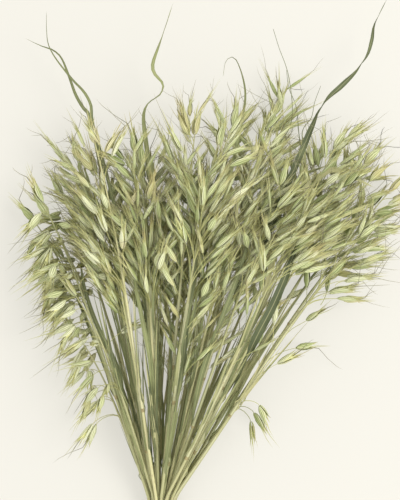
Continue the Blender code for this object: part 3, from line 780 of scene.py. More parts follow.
def fine_count(culm, whorl):
    share = LOW_SHARE if culm.low else np.interp(culm.fan, *zip(*FINE_ACROSS))
    left = 0 if culm.low else at_left(culm.fan, 0.6, 0.3)
    return round(mix(FINE_BRANCHES[whorl] * share, FINE_AT_LEFT[whorl], left))


def draw_fine(culm, whorl, rng, length_share, sisters):
    """One random fine spikelet, often on a side branch of a sister, or lower on the culm."""
    drawn = draw_spikelet(culm, whorl, rng, length_share)
    if rng.random() < SIDE_BRANCH_SHARE:
        parent = rng.choice(sisters or [drawn])
        root = parent.root.lerp(parent.joint, rng.uniform(*SIDE_BRANCH_FROM))
        return moved_to(drawn, root, rng.uniform(*SIDE_BRANCH_LENGTH))
    if whorl == 0 and LOWER_FAN[0] < culm.fan < LOWER_FAN[1] and rng.random() < LOWER_SHARE:
        lower = culm.at(culm.panicle_from - rng.uniform(0, LOWER_BY))
        return moved_to(drawn, lower, rng.uniform(*LOWER_LENGTH))
    return drawn


def fill_panicles(culms, panicles, rng):
    """More spikelets for each culm."""
    fine_crowd = Crowd()
    for number, culm in enumerate(culms):
        fine_crowd.add(stem_balls(culm), number, stem=True)
        for spikelet in [last_spikelet(culm), *panicles[number]]:
            fine_crowd.add(slim_balls(spikelet), number)
    filled = [[] for _ in culms]
    for whorl in reversed(range(len(WHORLS))):
        for number, culm in enumerate(culms):
            for _ in range(fine_count(culm, whorl)):
                for attempt in range(FINE_TRIES):
                    length_share = mix(1.0, FINE_SHORTENED, attempt / FINE_TRIES)
                    drawn = draw_fine(culm, whorl, rng, length_share, panicles[number] + filled[number])
                    ends = np.array([drawn.joint, drawn.tip])
                    if not inside_box(ends, -FINE_SHY) or ends[:, 2].min() < FINE_LOWEST:
                        continue
                    balls = slim_balls(drawn)
                    if fine_crowd.clears(balls, number, from_stem=0, from_sisters=0):
                        fine_crowd.add(balls, number)
                        filled[number].append(drawn)
                        break
    return filled


fine_rng = random.Random(FINE_SEED)
fine_panicles = fill_panicles(culms, panicles, fine_rng)
print(sum(len(p) for p in fine_panicles), "fine spikelets added")

# %% [markdown]
# ## Skins over rings
#
# Culms, branches, awns, florets, leaf blades and twine are all long and thin, so one method makes them all:
# rings of points along a middle line, joined by triangles and closed at both ends. A curve object with a
# bevel would do the same for a round tube, but not for a glume or a folded blade. Each point also gets two
# marks, how far along its piece it is and how far across. The materials read them later to draw ribs and to
# colour tips.

# %% Rings, skins and marks
EASED_STEPS = 12                        # between two given points of a curve


def unit(vectors):
    return vectors / np.linalg.norm(vectors, axis=-1, keepdims=True)


def frames_along(line, across):
    """(across, upright) for each point of a line, carried along it without twisting."""
    headings = unit(np.gradient(line, axis=0))
    sideways = []
    for heading in headings:
        across = unit(across - heading * (across @ heading))
        sideways.append(across)
    sideways = np.array(sideways)
    return sideways, np.cross(sideways, headings)


def skin(rings, tip=None, across=None):
    """(points, triangles, marks) of the closed skin over rings, which ends flat or in a tip."""
    count, sides = rings.shape[:2]
    points = rings.reshape(-1, 3)
    here = np.arange(count * sides).reshape(count, sides)
    onward = np.roll(here, -1, axis=1)
    a, b, c, d = here[:-1], onward[:-1], onward[1:], here[1:]
    faces = [np.stack([a, b, c], -1).reshape(-1, 3), np.stack([a, c, d], -1).reshape(-1, 3)]
    fan = np.arange(1, sides - 1)
    faces.append(np.stack([np.zeros_like(fan), fan + 1, fan], -1))
    if across is None:
        across = 1 - np.abs(2 * np.arange(sides) / sides - 1)
    marks = np.stack(np.meshgrid(np.linspace(0, 1, count), across, indexing="ij"), -1).reshape(-1, 2)
    if tip is None:
        faces.append(np.stack([np.zeros_like(fan), fan, fan + 1], -1) + here[-1, 0])
    else:
        end = np.full(sides, len(points))
        faces.append(np.stack([here[-1], onward[-1], end], -1))
        points = np.vstack([points, tip])
        marks = np.vstack([marks, (1.0, 0.0)])
    faces = np.concatenate(faces)
    corners = points[faces]
    volume = np.einsum("ij,ij->", corners[:, 0], np.cross(corners[:, 1], corners[:, 2]))
    return points, faces if volume > 0 else faces[:, ::-1], marks


def round_rings(line, radii, sides, across=(1, 0, 0)):
    """Rings of a tube, as an array of (ring, corner, axis)."""
    line, radii = np.asarray(line, float), np.asarray(radii, float)
    sideways, upright = frames_along(line, np.asarray(across, float))
    angles = 2 * np.pi * np.arange(sides) / sides
    spoke = sideways[:, None] * np.cos(angles)[:, None] + upright[:, None] * np.sin(angles)[:, None]
    return line[:, None] + spoke * radii[:, None, None]


def eased(line, count):
    """A smooth curve through a few points, as count points at even steps."""
    line = np.asarray(line, float)
    padded = np.vstack([2 * line[0] - line[1], line, 2 * line[-1] - line[-2]])
    fine = []
    for before, a, b, after in zip(padded, padded[1:], padded[2:], padded[3:]):
        t = np.linspace(0, 1, EASED_STEPS, endpoint=False)[:, None]
        bend = (2 * before - 5 * a + 4 * b - after) * t**2 + (3 * a - before - 3 * b + after) * t**3
        fine.append((2 * a + (b - before) * t + bend) / 2)
    fine = np.vstack([*fine, line[-1:]])
    walked = np.concatenate([[0], np.cumsum(np.linalg.norm(np.diff(fine, axis=0), axis=1))])
    even = np.linspace(0, walked[-1], count)
    return np.stack([np.interp(even, walked, fine[:, axis]) for axis in range(3)], -1)


# %% One mesh for each stem
FINISHES = ("glume", "floret", "bristle", "awn", "branch", "culm", "sheath", "joint", "blade")
SHARP_FROM = math.radians(50)           # faces that meet at a wider angle show an edge


class Growing:
    """The mesh of one piece while it grows, with the finish of each face and the marks of each point."""

    def __init__(self):
        self.points, self.faces, self.marks, self.finishes = [], [], [], []
        self.count = 0

    def add(self, part, finish, tint):
        """finish is one name, or one number for each face."""
        points, faces, marks = part
        number = FINISHES.index(finish) if isinstance(finish, str) else finish
        self.points.append(points)
        self.faces.append(faces + self.count)
        self.marks.append(np.column_stack([marks, np.full(len(points), tint)]))
        self.finishes.append(np.broadcast_to(number, len(faces)))
        self.count += len(points)

    def finish(self, name, materials):
        points, faces = np.vstack(self.points), np.vstack(self.faces)
        mesh = bpy.data.meshes.new(name)
        mesh.from_pydata(points.tolist(), [], faces.tolist())
        mesh.polygons.foreach_set("material_index", np.concatenate(self.finishes).astype(np.int32))
        for column, mark in enumerate(("along", "across", "tint")):
            values = np.vstack(self.marks)[:, column].astype(np.float32)
            mesh.attributes.new(mark, "FLOAT", "POINT").data.foreach_set("value", values)
        for material in materials:
            mesh.materials.append(material)
        mesh.shade_smooth()
        mesh.set_sharp_from_angle(angle=SHARP_FROM)
        made = bpy.data.objects.new(name, mesh)
        bpy.context.scene.collection.objects.link(made)
        return made


# %% [markdown]
# ## Glumes, florets and awns
#
# Two papery glumes enclose each oat spikelet. Each is boat-shaped, widest a third of the way up, and drawn
# out to a fine point. When the spikelet dries they gape, so that the tips stand apart in a narrow V. Between
# them sit two slim florets, whose tips split into bristles, and from a floret's back grows an awn: a dark
# column at first, then a bend, and then a long grey hair.
#
# A flat card with a picture on it would be lighter, but from the side it vanishes. Here each glume is a thin
# closed shell, with its edges drawn in like a boat's. Two dozen patterns are made once. Each spikelet of the
# bundle is one of them, turned, stretched a little and set on its own branch. Some have no awn, and some are
# tidier, with fewer bristles, for the panicles that hang apart.

# %% A glume
GLUME_THICKNESS = 0.00014
GLUME_KEEL = 0.0026                      # how far the keel bulges from the spikelet's middle
GLUME_STATIONS = (0.0, 0.09, 0.28, 0.50, 0.72, 0.88)
# (place along it, share of its width), from its base to its tip
GLUME_SHAPE = (
    (0.0, 0.18), (0.10, 0.56), (0.30, 1.0), (0.50, 0.88), (0.72, 0.40), (0.88, 0.13), (1.0, 0.0),
)
GLUMES_APART = 0.0003                    # at their bases
GLUME_EDGE_CURVE = 1.7
GLUME_WRAPS = 1.45                       # angle from its keel to its edge, in radians
OUTER = np.array((-1.0, -0.55, 0.0, 0.55, 1.0))  # places across the outer face, and the inner one
INNER = np.array((0.6, 0.0, -0.6))


def glume(side, length, half_width, wrap, gape, curl):
    """One glume. side is the way that its keel looks, wrap is how far its edges reach past the spikelet's
    middle, gape is how far its tip stands out, and curl bends it sideways."""
    t = np.array(GLUME_STATIONS)
    shape = np.interp(t, *zip(*GLUME_SHAPE))
    bulge = GLUME_KEEL * shape**0.7 * (1 - 0.45 * t)
    middle = GLUMES_APART + gape * t**2
    rings = []
    for across, inward in ((OUTER, 0.0), (INNER, GLUME_THICKNESS)):
        drawn_in = (bulge + wrap * shape)[:, None] * np.abs(across) ** GLUME_EDGE_CURVE
        x = (middle + bulge)[:, None] - inward - drawn_in
        z = (shape[:, None] * half_width + 0.00005) * np.sin(across * GLUME_WRAPS) + (curl * t**2)[:, None]
        y = np.broadcast_to((t * length)[:, None], x.shape)
        rings.append(np.stack([side * x, y, z], -1))
    tip = np.array((side * (GLUMES_APART + gape), length, curl))
    return skin(np.concatenate(rings, axis=1), tip, np.concatenate([OUTER, INNER]))


# %% A floret, a bristle and an awn
FLORET_STATIONS = (0.0, 0.2, 0.55, 0.85)
FLORET_SHAPE = (0.4, 1.0, 0.8, 0.3)
FLORET_POINT = 0.30                      # share of its length
BRISTLE_RADII = (0.00038, 0.00024)
AWN_RADII = (0.00030, 0.00028, 0.00026, 0.00021, 0.00017)
AWN_LEAN = 0.16                          # of its column
AWN_SAG = 0.07                           # share of the hair's length


def floret(side, start, length, fat):
    """A slim pointed floret."""
    t = np.array(FLORET_STATIONS)
    line = np.column_stack([side * (GLUMES_APART + 0.0009 * t), start + t * length, 0.0 * t])
    tip = line[-1] + (0, FLORET_POINT * length, 0)
    return skin(round_rings(line, fat * np.array(FLORET_SHAPE), 4), tip)


def bristle(start, end, bow):
    """A thin spike with a slight bow."""
    start, end = np.array(start), np.array(end)
    line = np.array([start, mix(start, end, 0.5) + bow])
    return skin(round_rings(line, BRISTLE_RADII, 3), end)


def awn(side, start, column, hair, bend, turn):
    """From a floret's back: a dark column, a bend, and a long hair."""
    out = np.array((math.cos(turn), 0.0, math.sin(turn)))
    foot = np.array((side * 0.0006, start, 0.0))
    knee = foot + column * (out * AWN_LEAN + (0, 0.98, 0))
    end = knee + hair * (np.array((0.0, math.cos(bend), 0.0)) + out * math.sin(bend))
    sag = out * hair * AWN_SAG
    bowed = [mix(knee, end, share) + sag for share in (0.35, 0.7)]
    line = np.array([foot, mix(foot, knee, 0.6), knee, *bowed])
    return skin(round_rings(line, AWN_RADII, 3), end)


# %% The patterns
# Lengths from 0.1 on are shares of the spikelet's length, and smaller ones are in metres
PATTERNS = 12
GAPES = (0.0012, 0.0022, 0.0034, 0.0046)
GAPE_UNEVEN = (0.5, 1.2)
GLUME_PAIR = ((1, 0.0029, 0.0004), (-1, 0.0026, -0.0004))  # (side, half width, wrap) of each
LONGER_GLUME = 0.92
SHORTER_GLUME = (0.76, 0.9)
GLUME_CURL = 0.0010
FLORET_PAIR = ((1, 0.70), (-1, 0.60))    # (side, length) of each
FLORET_FROM = 0.16
FLORET_UNEVEN = (0.9, 1.08)
FLORET_RADIUS = 0.0012
BRISTLES = 9
FEW_BRISTLES = 4
LONG_EVERY = 3
BRISTLES_APART = 0.0013                  # from the spikelet's middle to a bristle's root, at most
BRISTLE_FROM = (0.46, 0.66)
BRISTLE_SPREAD = (1.4, 3.8)              # its end is so many times further out than its root
BRISTLE_BOW = 0.3                        # share of its root's distance from the middle
SHORT_BRISTLE = (0.82, 1.12)             # where they end
LONG_BRISTLE = (1.15, 1.65)
AWN_FROM = 0.42
AWN_BEND = (15, 75)                      # degrees
AWN_COLUMN = (0.48, 0.66)
AWN_HAIR = (0.014, 0.034)


def spikelet_pattern(rng, awns, bristles=BRISTLES):
    """One complete spikelet at the origin, opening along +Y, with its keels towards +X and -X."""
    pattern = Growing()
    full = SPIKELET_LENGTH
    gape = rng.choice(GAPES)
    lengths = LONGER_GLUME, rng.uniform(*SHORTER_GLUME)
    for (side, half_width, wrap), length in zip(GLUME_PAIR, lengths):
        curl = rng.uniform(-GLUME_CURL, GLUME_CURL)
        opened = gape * rng.uniform(*GAPE_UNEVEN)
        pattern.add(glume(side, full * length, half_width, wrap, opened, curl), "glume", 0.0)
    for side, length in FLORET_PAIR:
        length = full * length * rng.uniform(*FLORET_UNEVEN)
        pattern.add(floret(side, full * FLORET_FROM, length, FLORET_RADIUS), "floret", 0.0)
    for number in range(bristles):
        x, z = (rng.uniform(-BRISTLES_APART, BRISTLES_APART) for _ in range(2))
        reach = full * rng.uniform(*(SHORT_BRISTLE if number % LONG_EVERY else LONG_BRISTLE))
        spread = rng.uniform(*BRISTLE_SPREAD)
        end = (x * spread, reach, z * spread)
        start = (x, full * rng.uniform(*BRISTLE_FROM), z)
        pattern.add(bristle(start, end, (x * BRISTLE_BOW, 0.0, z * BRISTLE_BOW)), "bristle", 0.0)
    for number in range(awns):
        bend = math.radians(rng.uniform(*AWN_BEND))
        column = full * rng.uniform(*AWN_COLUMN)
        turn = rng.uniform(0, 2 * math.pi)
        hair = rng.uniform(*AWN_HAIR)
        pattern.add(awn(1 - 2 * number, full * AWN_FROM, column, hair, bend, turn), "awn", 0.0)
    marks = np.vstack(pattern.marks)[:, :2]
    return np.vstack(pattern.points), np.vstack(pattern.faces), marks, np.concatenate(pattern.finishes)


awned = [spikelet_pattern(fine_rng, awns=1 + (number % 3 == 0)) for number in range(PATTERNS)]
awnless = [spikelet_pattern(fine_rng, awns=0) for _ in range(PATTERNS // 2)]
tidy = [spikelet_pattern(fine_rng, number % 2, FEW_BRISTLES) for number in range(PATTERNS // 2)]
print("triangles in a spikelet:", [len(pattern[1]) for pattern in awned])

# %% [markdown]
# ## A spikelet on its branch
#
# The branch is no thicker than sewing thread. It starts close along the rachis, swings out, and nods under
# the weight on its end, so a straight line would look wrong. A cubic curve with its first handle along the
# rachis and its last one along the spikelet gives that bow with two points more.

# %% Set a pattern on a branch
BRANCH_RADIUS = 0.00042
BRANCH_TIP_RADIUS = 0.00028
BRANCH_HANDLES = (0.38, 0.30)            # their shares of its length
BRANCH_POINTS = 7
INTO_SPIKELET = 0.0006
ROLL = math.radians(85)                  # of a spikelet about its length, at most
PATTERN_TRIES = 4
AWN_ROOM = np.array((0.017, 0.022, 0.011))  # how far an awn may stand out of the solids' box
BEND = 0.0016                            # sideways bow of a spikelet, at most
FULL_WIDTHS = (0.95, 1.35)               # of the patterns, for the spikelets that the solids have
TIP_WIDTHS = (1.20, 1.50)                # for those at the tips
SLIM_WIDTHS = (0.50, 0.95)               # for the fine ones
PRESSED_HEIGHT = 0.0003


def placed(pattern, spikelet, width, bend, roll):
    """The pattern's points, bowed a little, rolled about their length and moved to the spikelet's place."""
    points = pattern[0] + np.outer((pattern[0][:, 1] / SPIKELET_LENGTH) ** 2, bend)
    heading = np.array(spikelet.tip - spikelet.joint)
    length = np.linalg.norm(heading)
    heading = heading / length
    level = unit(np.cross(heading, np.array(spikelet.face)))
    steep = np.cross(level, heading)
    across = level * math.cos(roll) + steep * math.sin(roll)
    upright = np.cross(across, heading)
    scaled = points * (width, length / SPIKELET_LENGTH, width)
    return np.array(spikelet.joint) + scaled @ np.array([across, heading, upright])


def branch_line(spikelet, heading):
    root, joint = np.array(spikelet.root), np.array(spikelet.joint)
    length = np.linalg.norm(joint - root)
    aim = unit(np.array(spikelet.tip - spikelet.joint))
    leave, arrive = BRANCH_HANDLES
    along_rachis = root + np.array(heading) * leave * length
    before_joint = joint - aim * arrive * length
    handles = root, along_rachis, before_joint, joint + aim * INTO_SPIKELET
    t = np.linspace(0, 1, BRANCH_POINTS)[:, None]
    weights = (1 - t) ** 3, 3 * t * (1 - t) ** 2, 3 * t**2 * (1 - t), t**3
    return sum(weight * handle for weight, handle in zip(weights, handles))


def pressed(points):
    """What would sink into the table is pressed flat on it."""
    points = points.copy()
    points[:, 2] = np.maximum(points[:, 2], PRESSED_HEIGHT)
    return points


def laid(part):
    """A part with its points pressed."""
    return pressed(part[0]), part[1], part[2]


def add_spikelet(growing, spikelet, heading, tint, rng, widths, kinds, branched=True):
    """One of the kinds of pattern where it doesn't stand far out of the solids' box, on its branch."""
    width = rng.uniform(*widths)
    bend = (rng.uniform(-BEND, BEND), 0.0, rng.uniform(-BEND, BEND))
    roll = rng.uniform(-ROLL, ROLL)
    for pattern in rng.sample(kinds, PATTERN_TRIES) + rng.sample(awnless, 1):
        points = placed(pattern, spikelet, width, bend, roll)
        if inside_box(points, AWN_ROOM):
            break
    growing.add((pressed(points), pattern[1], pattern[2]), pattern[3], tint)
    if branched:
        line = pressed(branch_line(spikelet, heading))
        radii = np.linspace(BRANCH_RADIUS, BRANCH_TIP_RADIUS, len(line))
        across = unit(np.cross(line[-1] - line[0], (0.1, 0.2, 1)))
        growing.add(skin(round_rings(line, radii, 3, across)), "branch", tint)


# %% [markdown]
# ## Culms
#
# An oat culm is a hollow ribbed straw. Every 13 to 23 cm it has a joint, a little thicker and darker than the
# rest, and from there a leaf sheath wraps it, a touch thicker still, up to an open mouth. The sheath could be
# a tube of its own, but nobody can see between the two. So sheath and culm are one skin here: the radius of
# the rings steps up at a joint and down again at the mouth, and the faces of each stretch get their own
# finish. The cut end is left open, with a rim and a hollow.

# %% The skin of a culm
CULM_SIDES = 9
CULM_STATION = 0.006
SLIMMER = 0.97                           # share of the solid's radius
FIRST_JOINT = (0.015, 0.160)             # from the cut end
LAST_JOINT = 0.9                         # share of the way to the panicle, past which there is none
JOINT_STEP = (0.130, 0.230)
JOINT_SWELLS = 0.00028
JOINT_HALF = 0.0013
JOINT_TOP = 0.0012                       # where its colour ends and the sheath's starts
JOINT_RINGS = (-0.003, -0.0012, 0.0, 0.0012, 0.003)
MOUTH_RINGS = (-0.0002, 0.0002)
SHEATH_LENGTH = (0.050, 0.110)
SHEATH_THICKNESS = 0.00026
BARE_AT_LEAST = 0.012                    # from a sheath's mouth to the next joint
NO_JOINT = (-0.016, 0.014)               # where the twine is
NO_SHEATH = 0.012                        # on both sides of the twine's middle
RACHIS_END_RADIUS = 0.00050
RACHIS_CURVE = 0.7
HOLLOW_DEPTH = 0.005
HOLLOW_SHARE = 0.62                      # of the culm's radius
HOLLOW_NARROWS = 0.9


def joints_of(culm, rng):
    """(joint, mouth of its sheath) for each joint up to the panicle."""
    found = []
    s = -culm.foot + rng.uniform(*FIRST_JOINT)
    while s < culm.panicle_from * LAST_JOINT:
        step = rng.uniform(*JOINT_STEP)
        if not NO_JOINT[0] < s < NO_JOINT[1]:
            found.append((s, s + min(step - BARE_AT_LEAST, rng.uniform(*SHEATH_LENGTH))))
        s += step
    return found


def fine_radius(culm, s, joints):
    """The looks' radius: a thinner rachis, and joints and sheaths that stand out."""
    if s > culm.panicle_from:
        along = (s - culm.panicle_from) / (culm.reach - culm.panicle_from)
        return mix(NECK_RADIUS, RACHIS_END_RADIUS, along**RACHIS_CURVE)
    radius = culm.radius(s) * SLIMMER
    for joint, mouth in joints:
        radius += JOINT_SWELLS * math.exp(-((s - joint) / JOINT_HALF) ** 2)
        if joint < s < mouth and not -NO_SHEATH < s < NO_SHEATH:
            radius += SHEATH_THICKNESS
    return radius


def add_culm(growing, culm, tint, rng):
    """The culm with its rachis, from the hollow in its cut end to the last spikelet's joint."""
    joints = joints_of(culm, rng)
    distances, points = culm.course(step=0.002)
    coords = np.array(points)
    stations = list(np.arange(-culm.foot, culm.reach, CULM_STATION)) + [culm.reach]
    for joint, mouth in joints:
        stations += [joint + away for away in JOINT_RINGS] + [mouth + away for away in MOUTH_RINGS]
    stations = np.unique(np.clip(stations, -culm.foot, culm.reach).round(5))
    line = np.stack([np.interp(stations, distances, coords[:, axis]) for axis in range(3)], -1)
    radii = [fine_radius(culm, s, joints) for s in stations]
    inward = line[1] - line[0]
    bottom = line[0] + inward / np.linalg.norm(inward) * HOLLOW_DEPTH
    line = np.vstack([bottom, line[0] + (0, 1e-5, 0), line])
    hollow = radii[0] * HOLLOW_SHARE
    radii = [hollow * HOLLOW_NARROWS, hollow, *radii]
    sideways, upright = frames_along(line[2:], np.array((1.0, 0, 0)))
    sideways, upright = (np.vstack([way[:1], way[:1], way]) for way in (sideways, upright))
    angles = 2 * np.pi * np.arange(CULM_SIDES) / CULM_SIDES
    spoke = sideways[:, None] * np.cos(angles)[:, None] + upright[:, None] * np.sin(angles)[:, None]
    part = skin(line[:, None] + spoke * np.array(radii)[:, None, None])
    finishes = np.full(len(part[1]), FINISHES.index("culm"))
    middle = np.concatenate([[-culm.foot] * 2, stations])
    ring_of = part[1].min(axis=1) // CULM_SIDES
    s = middle[ring_of]
    for joint, mouth in joints:
        finishes[(s >= joint + JOINT_TOP) & (s < mouth)] = FINISHES.index("sheath")
        finishes[(s >= joint - JOINT_HALF) & (s < joint + JOINT_TOP)] = FINISHES.index("joint")
    finishes[ring_of < 1] = FINISHES.index("joint")
    part[2][:, 0] = np.repeat(middle, CULM_SIDES)
    growing.add(laid(part), finishes, tint)


# %% [markdown]
# ## Leaf blades up close
#
# A dry oat blade is a thin ribbon with a fold along its middle vein and fine parallel veins beside it. It
# twists as it dries and ends in a long point. A plane with a bend and a twist modifier could do it, but the
# blades have to follow the ways of the solid ones, so the rings run along the same few points, eased into a
# smooth curve. The photograph also shows many short thin blades low on the culms, and three bare threads at
# the top. The blades are drawn by chance and tried against the crowd, and the threads' ways are given.

# %% The skin of a blade
BLADE_HALF_THICKNESS = 0.00016
BLADE_FOLD = 0.30                        # how deep the fold is, as a share of the half width
BLADE_STATION = 0.0045
BLADE_LEAST = 0.0001
BLADE_RIPPLE = 0.10                      # share of its half width
RIPPLES = 260                            # radians in a metre
TWIST_CURVE = 1.3
BLADE_POINT = 0.004
# (twist in degrees, tone from 0 dark green to 1 pale straw) of the solids' blades, in their order
BLADE_LOOKS = (
    (60, 0.30), (-80, 0.22), (330, 0.45), (90, 0.40), (520, 0.05), (20, 0.75),
    (0, 0.0), (30, 0.12), (-40, 0.22), (60, 0.40), (0, 0.20),
)


def blade_skin(blade, points, turns):
    """A thin folded ribbon along the blade's points. turns is the twist of its outer half in degrees, which
    gets closer towards the tip."""
    length = sum((b - a).length for a, b in zip(points, points[1:]))
    count = max(8, int(length / BLADE_STATION))
    line = eased(points, count)
    shares = np.linspace(0, 1, count)
    widths = [blade.half_width(t) + BLADE_LEAST for t in shares]
    headings = unit(np.gradient(line, axis=0))
    rings = []
    for index, (t, width) in enumerate(zip(shares, widths)):
        side, up = side_and_up(Vector(headings[index]))
        twist = math.radians(turns) * max(0.0, 2 * t - 1) ** TWIST_CURVE
        across = np.array(side * math.cos(twist) + up * math.sin(twist))
        through = np.array(up * math.cos(twist) - side * math.sin(twist))
        ring = []
        for places, face in ((OUTER, -1), (INNER, 1)):
            for place in places:
                ripple = BLADE_RIPPLE * width * place * math.sin(t * length * RIPPLES + 2 * place)
                thickness = face * BLADE_HALF_THICKNESS * (1 - abs(place))
                height = BLADE_FOLD * width * abs(place) + ripple + thickness
                ring.append(line[index] + across * width * place + through * height)
        rings.append(ring)
    return skin(np.array(rings), line[-1] + headings[-1] * BLADE_POINT, np.concatenate([OUTER, INNER]))


# %% Short blades low on the culms
SHORT_BLADES = 150
SHORT_TRIES = 12
SHORT_START = (0.030, 0.170)
SHORT_LENGTH = (0.060, 0.150)
SHORT_WIDTH = (0.0008, 0.0024)
SHORT_STEPS = 5
SHORT_DRIFT = (1, 4)                     # degrees off its culm, to one side
SHORT_BENDS = 0.3                        # of that drift more with each step
SHORT_TWIST = 160


def draw_short_blade(culm, rng):
    start = rng.uniform(*SHORT_START)
    length = rng.uniform(*SHORT_LENGTH)
    foot = culm.at(start)
    drift = rng.choice((-1, 1)) * math.radians(rng.uniform(*SHORT_DRIFT))
    x, y, way = foot.x, foot.y, []
    for step in range(SHORT_STEPS):
        bearing = culm.bearing(start) + drift * (1 + SHORT_BENDS * step)
        x += math.sin(bearing) * length / SHORT_STEPS
        y += math.cos(bearing) * length / SHORT_STEPS
        way.append((x, y))
    width, twist = rng.uniform(*SHORT_WIDTH), rng.uniform(-SHORT_TWIST, SHORT_TWIST)
    return Blade(culm.fan, culm.level, start, width, tuple(way), twist)


def grow_short_blades(culms, crowd, rng):
    grown = []
    for _ in range(SHORT_BLADES):
        for _ in range(SHORT_TRIES):
            number = rng.randrange(len(culms))
            found = blade_if_clear(number, draw_short_blade(culms[number], rng), crowd)
            if found:
                grown.append(found)
                break
    return grown


short_blades = grow_short_blades(culms, crowd, fine_rng)
print(len(short_blades), "short blades")

# %% Bare threads at the top
# The dried ends of three old panicles, as thin as thread: (x, y) from above, each from its culm to its tip
THREAD_WAYS = (
    ((0.110, 0.343), (0.119, 0.368), (0.117, 0.409), (0.108, 0.437), (0.103, 0.454)),
    ((0.120, 0.331), (0.129, 0.353), (0.126, 0.384), (0.119, 0.403), (0.117, 0.420)),
    ((0.125, 0.335), (0.131, 0.359), (0.140, 0.375), (0.143, 0.389), (0.149, 0.405)),
)
THREAD_RADIUS = 0.00045
THREAD_TIP_RADIUS = 0.00020
THREAD_POINTS = 24
THREAD_SINKS, THREAD_SINKS_OVER = 0.010, 0.1
THREAD_TONE = 0.2


def nearest_stem(x, y):
    """(number, point): the place on a culm that lies nearest to (x, y), seen from above."""
    found = []
    for number, culm in enumerate(culms):
        course = [point for point in culm.course()[1] if point.y > 0]
        closest = min(course, key=lambda point: math.hypot(point.x - x, point.y - y))
        found.append((math.hypot(closest.x - x, closest.y - y), number, closest))
    return min(found)[1:]


threads = []
for way in THREAD_WAYS:
    number, foot = nearest_stem(*way[0])
    line = [foot]
    for x, y in way[1:]:
        line.append(Vector((x, y, foot.z - THREAD_SINKS * (y - foot.y) / THREAD_SINKS_OVER)))
    threads.append((number, eased(line, THREAD_POINTS)))
print("threads on culms", [number + 1 for number, _ in threads])

# %% [markdown]
# ## Colours by number
#
# Colours are picked as red, green and blue from 0 to 255, which is how a colour picker shows them.
# Blender's shaders count in light, so a helper turns one into the other. A second helper puts nodes into a
# material with one line each, because a straw's finish takes a dozen nodes and wiring them by hand is long.

# %% A helper for finishes
def paint(red, green, blue):
    """A colour picker's colour as the shader's light values."""
    light = [c / 3294.6 if c <= 10 else ((c / 255 + 0.055) / 1.055) ** 2.4 for c in (red, green, blue)]
    return (*light, 1.0)


class Finish:
    """A material under construction. Each method adds a node and gives back its output."""

    def __init__(self, name, roughness, **even):
        self.material = bpy.data.materials.new(name)
        self.material.use_nodes = True
        self.tree = self.material.node_tree
        self.shader = self.tree.nodes["Principled BSDF"]
        self.shader.inputs["Roughness"].default_value = roughness
        for socket, value in even.items():
            self.shader.inputs[socket.replace("_", " ")].default_value = value

    def put(self, kind, inputs, output=0, **settings):
        node = self.tree.nodes.new(kind)
        for setting, value in settings.items():
            setattr(node, setting, value)
        for socket, value in inputs.items():
            if isinstance(value, bpy.types.NodeSocket):
                self.tree.links.new(value, node.inputs[socket])
            else:
                node.inputs[socket].default_value = value
        return node.outputs[output]

    def mark(self, name):
        return self.put("ShaderNodeAttribute", {}, output="Fac", attribute_name=name)

    def math(self, operation, a, b=0.0):
        return self.put("ShaderNodeMath", {0: a, 1: b}, operation=operation)

    def washed(self, colour, where, share, towards, way="MIX"):
        """The colour, tinted by the given share where the value is 1."""
        inputs = {0: self.math("MULTIPLY", where, share), 6: colour, 7: towards}
        return self.put("ShaderNodeMix", inputs, output=2, data_type="RGBA", blend_type=way)

    def patchy(self, noise, by, less):
        """The tint mark, made uneven by a noise."""
        mixed = self.math("ADD", self.mark("tint"), self.math("MULTIPLY", noise, by))
        return self.math("SUBTRACT", mixed, less)

    def between(self, value, low, high, to_low=0.0, to_high=1.0):
        inputs = {0: value, 1: low, 2: high, 3: to_low, 4: to_high}
        return self.put("ShaderNodeMapRange", inputs, interpolation_type="SMOOTHSTEP")

    def graded(self, value, *stops):
        """A colour for each value: stops are (place, colour)."""
        output = self.put("ShaderNodeValToRGB", {0: value})
        ramp = output.node.color_ramp
        while len(ramp.elements) < len(stops):
            ramp.elements.new(0.5)
        for element, (place, colour) in zip(ramp.elements, stops):
            element.position, element.color = place, colour
        return output

    def cloud(self, scale, detail=2.0, stretch=(1, 1, 1)):
        """Soft noise in real lengths: scale is in spots per metre."""
        spot = self.put("ShaderNodeTexCoord", {}, output="Object")
        spot = self.put("ShaderNodeVectorMath", {0: spot, 1: stretch}, operation="MULTIPLY")
        return self.put("ShaderNodeTexNoise", {"Vector": spot, "Scale": scale, "Detail": detail})

    def done(self, colour, height=None, distance=0.0001, strength=0.6):
        self.tree.links.new(colour, self.shader.inputs["Base Color"])
        if height is not None:
            inputs = {"Height": height, "Distance": distance, "Strength": strength}
            self.tree.links.new(self.put("ShaderNodeBump", inputs), self.shader.inputs["Normal"])
        return self.material


# %% [markdown]
# ## Papery glumes
#
# A dry glume is thin pale green to cream paper. Fine darker veins run from its base to its tip, its edges are
# clear and light, the very tip dries tan, and in patches the heads have dried browner. A photograph as a
# texture would fix all spikelets to one look. Here the marks on the mesh drive the pattern: across gives the
# veins and edges, along gives the tip, and tint, one value for each spikelet, makes no two alike.

# %% The glumes' finish
GLUME_VEINS = 2.5                        # on each side of the keel
BROWN_SPOTS = 24                         # to a metre
BROWN_FROM, BROWN_TO = 0.52, 0.68        # of the noise


def vein_wave(finish, count):
    """A soft wave across a piece, between 0 and 1."""
    turned = finish.math("MULTIPLY", finish.mark("across"), count * 2 * math.pi)
    return finish.between(finish.math("COSINE", turned), -1.0, 1.0)


def off_middle(finish, *limits):
    return finish.between(finish.math("ABSOLUTE", finish.mark("across")), *limits)


def browned(finish, colour, towards):
    """The colour, drier in wide patches that neighbours share."""
    patches = finish.between(finish.cloud(BROWN_SPOTS), BROWN_FROM, BROWN_TO)
    return finish.washed(colour, patches, 0.4, towards)


